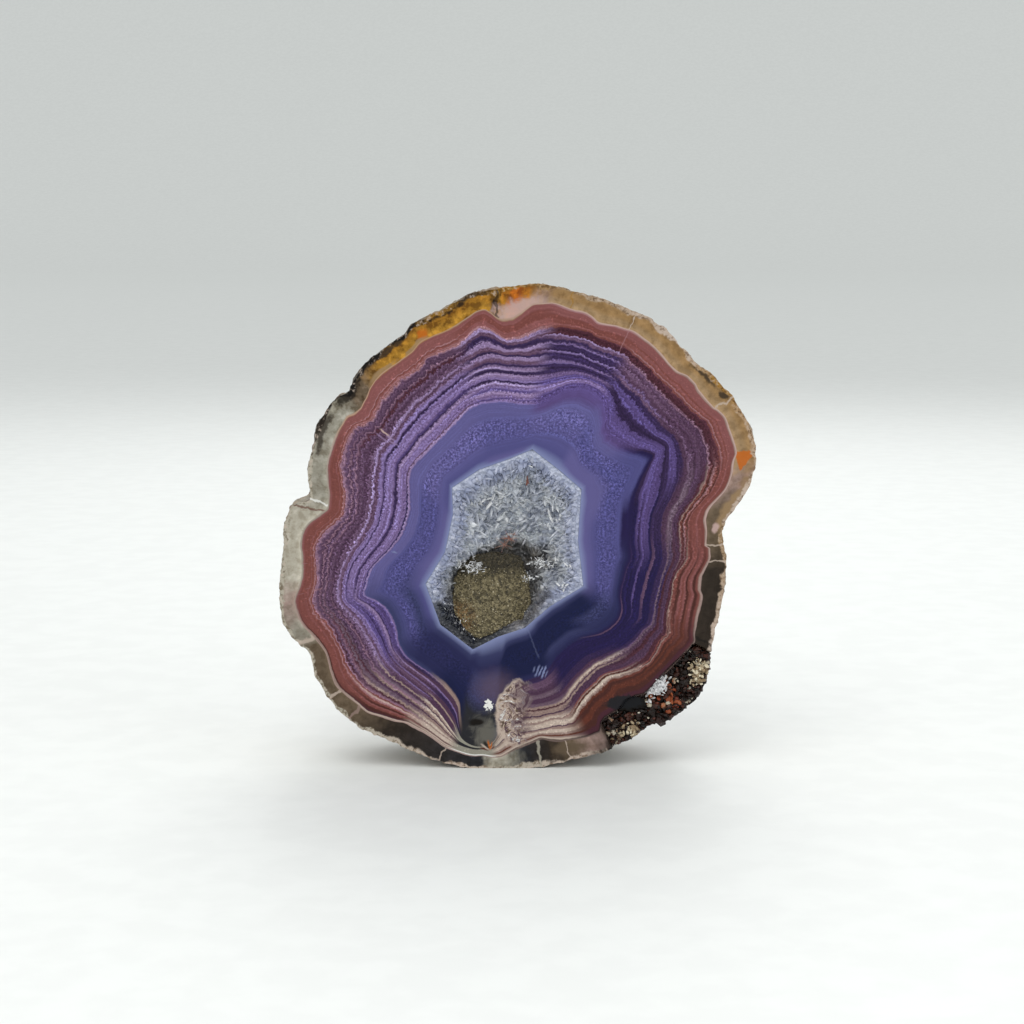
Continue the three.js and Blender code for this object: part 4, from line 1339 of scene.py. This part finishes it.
def in_the_bowl(angle, share, mouth):
    """A place on the wall of the open bowl, in millimetres"""
    shares, sizes = zip(*BOWL[:-1])
    size = np.interp(share, shares, sizes) * np.interp(angle, ANGLES, mouth)
    x = HOLLOW_X + size * math.cos(math.radians(angle)) + BOWL_DRIFT[0] * share
    z = HOLLOW_Z + size * math.sin(math.radians(angle)) + BOWL_DRIFT[1] * share
    return Vector((x, FACE_Y + share * BOWL_DEPTH, z))


class AGATE_OT_slice(bpy.types.Operator):
    """Make the banded slice: polished face, weathered rind, sawn back and the wall of the hollow"""

    bl_idname = "agate.slice"
    bl_label = "Banded Slice"

    def execute(self, context):
        settings = context.scene.agate_slice
        colours = context.scene.agate_colours
        mesh = loft("banded_slice", slice_rows(settings.edge_relief))
        mesh.polygons.foreach_set("use_smooth", np.ones(len(mesh.polygons), bool))
        mesh.set_sharp_from_angle(angle=math.radians(50))
        materials = [
            face_material(colours, settings), rind_material(colours),
            back_material(colours), wall_material(colours),
        ]
        stand(mesh, materials, "agate", "agate")
        return {"FINISHED"}


class AGATE_OT_druse(bpy.types.Operator):
    """Line the hollow with quartz: a milky ground and the points that grow from it"""

    bl_idname = "agate.druse"
    bl_label = "Quartz Druse"

    def execute(self, context):
        settings = context.scene.agate_quartz
        colours = context.scene.agate_colours
        mouth = mouth_line()
        angles = np.linspace(0.0, 360.0, DRUSE_COLUMNS + 1)
        mesh = loft("druse_ground", druse_rows(angles), angles)
        stand(mesh, [druse_ground_material(colours)], "quartz", "quartz_crust")

        rng = random.Random(DRUSE_SEED)
        template = small_shape("quartz_point", quartz_point)
        clear, milky, slivers = ([], []), ([], []), ([], [])
        for index in range(settings.points + settings.slivers):
            sliver = index >= settings.points
            turn = (index + 0.5) / settings.points if not sliver else rng.random()
            share = 1.0 - math.sqrt(1.0 - min(turn, 0.999))
            angle = (index * GOLDEN_TURN % 1.0) * 360.0
            place = in_the_bowl(angle, share, mouth)
            inwards = Vector((-math.cos(math.radians(angle)), 0.0, -math.sin(math.radians(angle))))
            length = rng.uniform(settings.shortest, settings.longest) / MM
            if sliver:
                turned = rng.gauss(0, 0.9)
                flat = Vector((inwards.x * math.cos(turned) - inwards.z * math.sin(turned), 0.0,
                               inwards.x * math.sin(turned) + inwards.z * math.cos(turned)))
                towards = flat + Vector((0.0, -rng.uniform(0.15, 0.6), 0.0))
                length *= rng.uniform(0.6, 1.6)
                across = rng.uniform(0.06, 0.2)
                place.y -= rng.uniform(0.2, 0.9)
            else:
                strayed = Vector((rng.gauss(0, 0.7), -0.35 - 0.9 * share, rng.gauss(0, 0.7)))
                towards = inwards * (1.15 - share) + strayed
                across = min(0.5, length * rng.uniform(0.16, 0.36))
            beside = math.hypot(
                (place.x - MOUND_MIDDLE[0]) / MOUND_HALF[0], (place.z - MOUND_MIDDLE[2]) / MOUND_HALF[2],
            )
            if beside < 1.0:
                continue
            if beside < 1.4:
                length *= 0.35 + 1.6 * (beside - 1.0)
            if share < 0.06:
                length *= 0.55
            towards.normalize()
            root = under_the_face(place - towards * 0.3 * length, towards, length)
            matrices, tints = slivers if sliver else milky if rng.random() < 0.5 else clear
            matrices.append(grown_at(root, towards, across, length, rng.uniform(0, math.tau)))
            tints.append(rng.uniform(0.4, 1.0) if sliver else rng.random())
        matrices, tints = [], []
        for at, spread, count, length, darkest in WHITE_TUFTS_AND_GLINTS:
            for _ in range(count):
                towards = Vector((rng.gauss(0, 1), -abs(rng.gauss(0, 0.6)), rng.gauss(0, 1))).normalized()
                stray = Vector((rng.gauss(0, spread), rng.uniform(-0.3, 0.3), rng.gauss(0, 0.6 * spread)))
                root = Vector(at) + stray
                size = length * rng.uniform(0.4, 1.2)
                root = under_the_face(root, towards, size)
                across = size * rng.uniform(0.09, 0.2)
                matrices.append(grown_at(root, towards, across, size, rng.uniform(0, 6)))
                tints.append(rng.uniform(darkest, 1.0))
        stops = [
            (0.0, (0.12, 0.11, 0.10)), (0.35, (0.38, 0.38, 0.38)), (0.8, (0.78, 0.79, 0.81)),
            (1.0, (0.95, 0.95, 0.96)),
        ]
        strew("white_tufts_and_glints", template, matrices, tints, "quartz", stops, 0.15)
        for name, (matrices, tints), clearness, low, high in (
            ("clear_quartz_points", clear, 0.25, (0.42, 0.46, 0.54), (0.97, 0.98, 1.0)),
            ("milky_quartz_points", milky, 0.0, (0.38, 0.42, 0.50), (0.95, 0.96, 0.98)),
            ("quartz_slivers", slivers, 0.15, (0.70, 0.73, 0.80), (0.97, 0.98, 1.0)),
        ):
            mesh = copies(name, template, matrices, tints)
            stand(mesh, [quartz_material(name, colours, clearness, low, high)], "quartz")
        return {"FINISHED"}


class AGATE_OT_mound(bpy.types.Operator):
    """Lay the mound of stained grains in the hollow, with its red needles"""

    bl_idname = "agate.mound"
    bl_label = "Stained Mound"

    def execute(self, context):
        settings = context.scene.agate_quartz
        colours = context.scene.agate_colours
        angles, sizes = zip(*MOUND_OUTLINE)

        def bulge(point):
            angle = math.degrees(math.atan2(point.z, point.x)) % 360.0
            size = np.interp(angle, angles, sizes, period=360.0)
            rough = 1.0 + 0.06 * noise.fractal(point * 3.0, 0.7, 2.0, 5)
            half_x, half_y, half_z = MOUND_HALF
            lean = MOUND_LEAN * point.z
            out = (point.x * half_x * size, point.y * half_y * rough + lean, point.z * half_z * size)
            return Vector(out) * rough

        shell = bmesh.new()
        bmesh.ops.create_icosphere(shell, subdivisions=6, radius=1.0)
        for vertex in shell.verts:
            vertex.co = (bulge(vertex.co) + Vector(MOUND_MIDDLE)) * MM
        bmesh.ops.recalc_face_normals(shell, faces=shell.faces)
        mesh = bpy.data.meshes.new("stained_mound")
        shell.to_mesh(mesh)
        shell.free()
        mesh.polygons.foreach_set("use_smooth", np.ones(len(mesh.polygons), bool))
        stand(mesh, [mound_material(colours)], "quartz")

        rng = random.Random(MOUND_SEED)
        template = small_shape("broken_grain", broken_grain)
        matrices, tints = [], []
        for _ in range(settings.grains):
            towards = Vector((rng.gauss(0, 1), -abs(rng.gauss(0, 0.8)), rng.gauss(0, 1))).normalized()
            place = bulge(towards) + Vector(MOUND_MIDDLE)
            size = rng.uniform(0.05, 0.14)
            block = (size, size * rng.uniform(0.6, 1), size * rng.uniform(0.6, 1))
            matrices.append(thrown_at(place, block, rng))
            shadowed = place.z - HOLLOW_Z + rng.gauss(0, 0.5) > -2.2
            tints.append(rng.random() * (0.25 if shadowed else 1.0))
        stops = [
            (0.0, (0.03, 0.024, 0.014)), (0.3, (0.10, 0.080, 0.040)), (0.65, (0.20, 0.165, 0.085)),
            (0.9, (0.30, 0.25, 0.15)), (1.0, (0.45, 0.40, 0.29)),
        ]
        strew("mound_grains", template, matrices, tints, "quartz", stops, 0.5)

        needles, tints = [], []
        needle = small_shape("needle", thin_needle)
        for at, count, length in NEEDLES:
            for _ in range(count):
                towards = Vector((rng.gauss(0, 1), rng.gauss(-0.5, 0.5), rng.gauss(0, 1)))
                needles.append(grown_at(Vector(at), towards, 0.035, length * rng.uniform(0.5, 1.1), 0.0))
                tints.append(rng.random())
        for at, up, length in SPIKES:
            needles.append(grown_at(Vector(at), Vector(up), 0.11, length, 0.4))
            tints.append(0.1)
        stops = [(0.0, (0.12, 0.03, 0.02)), (0.4, (0.33, 0.12, 0.08)), (1.0, (0.55, 0.36, 0.28))]
        strew("red_needles", needle, needles, tints, "quartz", stops, 0.35)
        return {"FINISHED"}


def on_face(angle, distance, y):
    """A place by angle and distance from the hollow's middle, in millimetres"""
    around = math.radians(angle)
    return Vector((HOLLOW_X + distance * math.cos(around), y, HOLLOW_Z + distance * math.sin(around)))


def rim_at(place):
    """How far the rim lies from the hollow's middle, in the direction of a place"""
    angle = math.degrees(math.atan2(place.z - HOLLOW_Z, place.x - HOLLOW_X)) % 360.0
    return np.interp(angle, [p[0] for p in RIM], [p[1] for p in RIM])


class AGATE_OT_pocket(bpy.types.Operator):
    """Fill the broken pocket of the rim with coarse grains, crystals and cream lumps"""

    bl_idname = "agate.pocket"
    bl_label = "Rim Pocket"

    def execute(self, context):
        rng = random.Random(POCKET_SEED)
        grain = small_shape("pocket_grain", broken_grain)
        point = small_shape("pocket_point", quartz_point)
        floor = FACE_Y + POCKET_DEPTH
        matrices, tints = [], []
        for _ in range(POCKET_GRAINS):
            angle = rng.uniform(*POCKET_GRAIN_ARC)
            inner = np.interp(angle, [p[0] for p in WHITE_LINE], [p[1] for p in WHITE_LINE])
            outer = np.interp(angle, [p[0] for p in RIM], [p[1] for p in RIM])
            distance = rng.uniform(inner + 0.3, outer - 0.15)
            size = rng.uniform(0.12, 0.6) if rng.random() < 0.92 else rng.uniform(0.6, 1.0)
            place = on_face(angle, distance, floor - rng.uniform(-0.1, 1.0) * (1.0 - size))
            off_lens = math.hypot(
                (place.x - HOLLOW_X - POCKET_LENS[0]) / POCKET_LENS_HALF[0],
                (place.z - HOLLOW_Z - POCKET_LENS[1]) / POCKET_LENS_HALF[1],
            )
            if place.z < size + 0.05 or off_lens < 1.0:
                continue
            block = (size, size * rng.uniform(0.4, 1), size * rng.uniform(0.3, 0.8))
            matrices.append(thrown_at(place, block, rng))
            red = math.hypot(angle - 317.5, (distance - 26.2) * 1.6) < 4.0
            if red and rng.random() < 0.45:
                tints.append(rng.uniform(0.45, 0.78))
            else:
                # The few pale grains stand partly for cream grains and partly for painted glints on the dark
                # ones
                tints.append(rng.uniform(0.0, 0.45) if rng.random() < 0.94 else rng.uniform(0.8, 1.0))
        stops = [
            (0.0, (0.004, 0.003, 0.002)), (0.3, (0.018, 0.008, 0.006)), (0.45, (0.06, 0.018, 0.011)),
            (0.6, (0.20, 0.035, 0.016)), (0.75, (0.33, 0.10, 0.035)), (0.85, (0.3, 0.25, 0.18)),
            (1.0, (0.6, 0.56, 0.46)),
        ]
        strew("pocket_grains", grain, matrices, tints, "agate", stops, 0.12, shine=0.22)

        matrices, tints = [], []
        for _ in range(POCKET_POINTS):
            place = on_face(rng.gauss(318.3, 1.5), rng.gauss(24.75, 0.45), floor - rng.uniform(0.2, 1.0))
            towards = Vector((rng.gauss(0.2, 0.6), -1.0, rng.gauss(0.2, 0.6)))
            length = rng.uniform(0.35, 0.8)
            place = under_the_face(place, towards.normalized(), length)
            matrices.append(grown_at(place, towards, length * 0.25, length, rng.uniform(0, 6)))
            tints.append(rng.uniform(0.3, 1.0))
        stops = [(0.0, (0.4, 0.4, 0.42)), (0.4, (0.9, 0.9, 0.92)), (1.0, (0.96, 0.96, 0.97))]
        strew("white_points", point, matrices, tints, "quartz", stops, 0.15, clearness=0.3)

        matrices, tints = [], []
        for angle, distance, spread, count in POCKET_LUMPS:
            for _ in range(count):
                size = rng.uniform(0.12, 0.42)
                stray = Vector((rng.gauss(0, spread), rng.uniform(-0.5, 0.6), rng.gauss(0, spread)))
                place = on_face(angle, distance, floor - 0.5) + stray
                beside = math.hypot(place.x - HOLLOW_X, place.z - HOLLOW_Z)
                if place.z < size + 0.05 or beside > rim_at(place) - 0.1:
                    continue
                flat = (size, size * rng.uniform(0.4, 0.9), size * rng.uniform(0.25, 0.6))
                matrices.append(thrown_at(place, flat, rng))
                tints.append(rng.random())
        stops = [
            (0.0, (0.07, 0.04, 0.02)), (0.35, (0.26, 0.18, 0.10)), (0.7, (0.5, 0.42, 0.28)),
            (1.0, (0.75, 0.68, 0.52)),
        ]
        strew("cream_lumps", grain, matrices, tints, "agate", stops, 0.6)
        return {"FINISHED"}


class AGATE_OT_studio(bpy.types.Operator):
    """Set the pale floor, the soft lights and the camera"""

    bl_idname = "agate.studio"
    bl_label = "Studio"

    def execute(self, context):
        settings = context.scene.agate_studio
        sweep = bmesh.new()
        bmesh.ops.create_grid(sweep, x_segments=1, y_segments=1, size=FLOOR_HALF)
        nearly = FLOOR_HALF - 0.1
        far_edge = [edge for edge in sweep.edges if all(vertex.co.y > nearly for vertex in edge.verts)]
        bmesh.ops.spin(
            sweep, geom=far_edge, angle=math.radians(90), steps=24, axis=(1.0, 0.0, 0.0),
            cent=(0.0, FLOOR_HALF, SWEEP_RADIUS),
            dvec=(0.0, 0.0, 0.0), use_merge=False, use_duplicate=False,
        )
        mesh = bpy.data.meshes.new("pale_floor")
        sweep.to_mesh(mesh)
        sweep.free()
        mesh.polygons.foreach_set("use_smooth", np.ones(len(mesh.polygons), bool))
        mesh.materials.append(plain_material("pale_floor", tuple(settings.floor_colour), 0.6, 0.03, 0.2))
        floor = bpy.data.objects.new("pale_floor", mesh)
        context.collection.objects.link(floor)

        middle = Vector((0.0, 0.0, 0.03))
        for name, place, size, power, shown in LIGHTS:
            light = bpy.data.lights.new(name, "AREA")
            light.size = size
            light.energy = settings.key_power * power
            light.color = shown
            lamp = bpy.data.objects.new(name, light)
            lamp.location = place
            lamp.rotation_euler = (middle - Vector(place)).to_track_quat("-Z", "Y").to_euler()
            context.collection.objects.link(lamp)

        world = bpy.data.worlds.new("soft_room")
        world.use_nodes = True
        world.node_tree.nodes["Background"].inputs["Color"].default_value = (0.88, 0.90, 0.90, 1.0)
        world.node_tree.nodes["Background"].inputs["Strength"].default_value = 0.9
        context.scene.world = world
        context.scene.view_settings.view_transform = "Standard"

        aim = Vector(CAMERA_AIM) * MM
        back = Vector((0.0, -math.cos(settings.elevation), math.sin(settings.elevation)))
        camera = bpy.data.cameras.new("camera")
        camera.lens = settings.lens
        camera.clip_start = 0.01
        camera.clip_end = 10.0
        eye = bpy.data.objects.new("camera", camera)
        eye.location = aim + back * CAMERA_DISTANCE
        eye.rotation_euler = (-back).to_track_quat("-Z", "Y").to_euler()
        context.collection.objects.link(eye)
        context.scene.camera = eye
        return {"FINISHED"}


class AGATE_PT_build(bpy.types.Panel):
    """The pieces of the agate slice and what can be changed in them"""

    bl_label = "Agate Slice"
    bl_idname = "AGATE_PT_build"
    bl_space_type = "VIEW_3D"
    bl_region_type = "UI"
    bl_category = "Agate"

    def draw(self, context):
        scene = context.scene
        for settings, operators in (
            (scene.agate_slice, (AGATE_OT_slice, AGATE_OT_pocket)),
            (scene.agate_quartz, (AGATE_OT_druse, AGATE_OT_mound)),
            (scene.agate_studio, (AGATE_OT_studio,)),
            (scene.agate_colours, ()),
        ):
            box = self.layout.box()
            for name in settings.bl_rna.properties.keys():
                if name not in {"rna_type", "name"}:
                    box.prop(settings, name)
            for operator in operators:
                box.operator(operator.bl_idname)


CLASSES = (
    AgateColours, AgateSlice, AgateQuartz, AgateStudio,
    AGATE_OT_slice, AGATE_OT_druse, AGATE_OT_mound, AGATE_OT_pocket, AGATE_OT_studio, AGATE_PT_build,
)


def register():
    for made in CLASSES:
        bpy.utils.register_class(made)
    bpy.types.Scene.agate_colours = PointerProperty(type=AgateColours)
    bpy.types.Scene.agate_slice = PointerProperty(type=AgateSlice)
    bpy.types.Scene.agate_quartz = PointerProperty(type=AgateQuartz)
    bpy.types.Scene.agate_studio = PointerProperty(type=AgateStudio)


def unregister():
    del bpy.types.Scene.agate_studio
    del bpy.types.Scene.agate_quartz
    del bpy.types.Scene.agate_slice
    del bpy.types.Scene.agate_colours
    for made in reversed(CLASSES):
        bpy.utils.unregister_class(made)


def main():
    """Builds every piece in turn."""
    register()
    bpy.ops.agate.slice()
    bpy.ops.agate.druse()
    bpy.ops.agate.mound()
    bpy.ops.agate.pocket()
    bpy.ops.agate.studio()


if __name__ == "__main__":
    main()
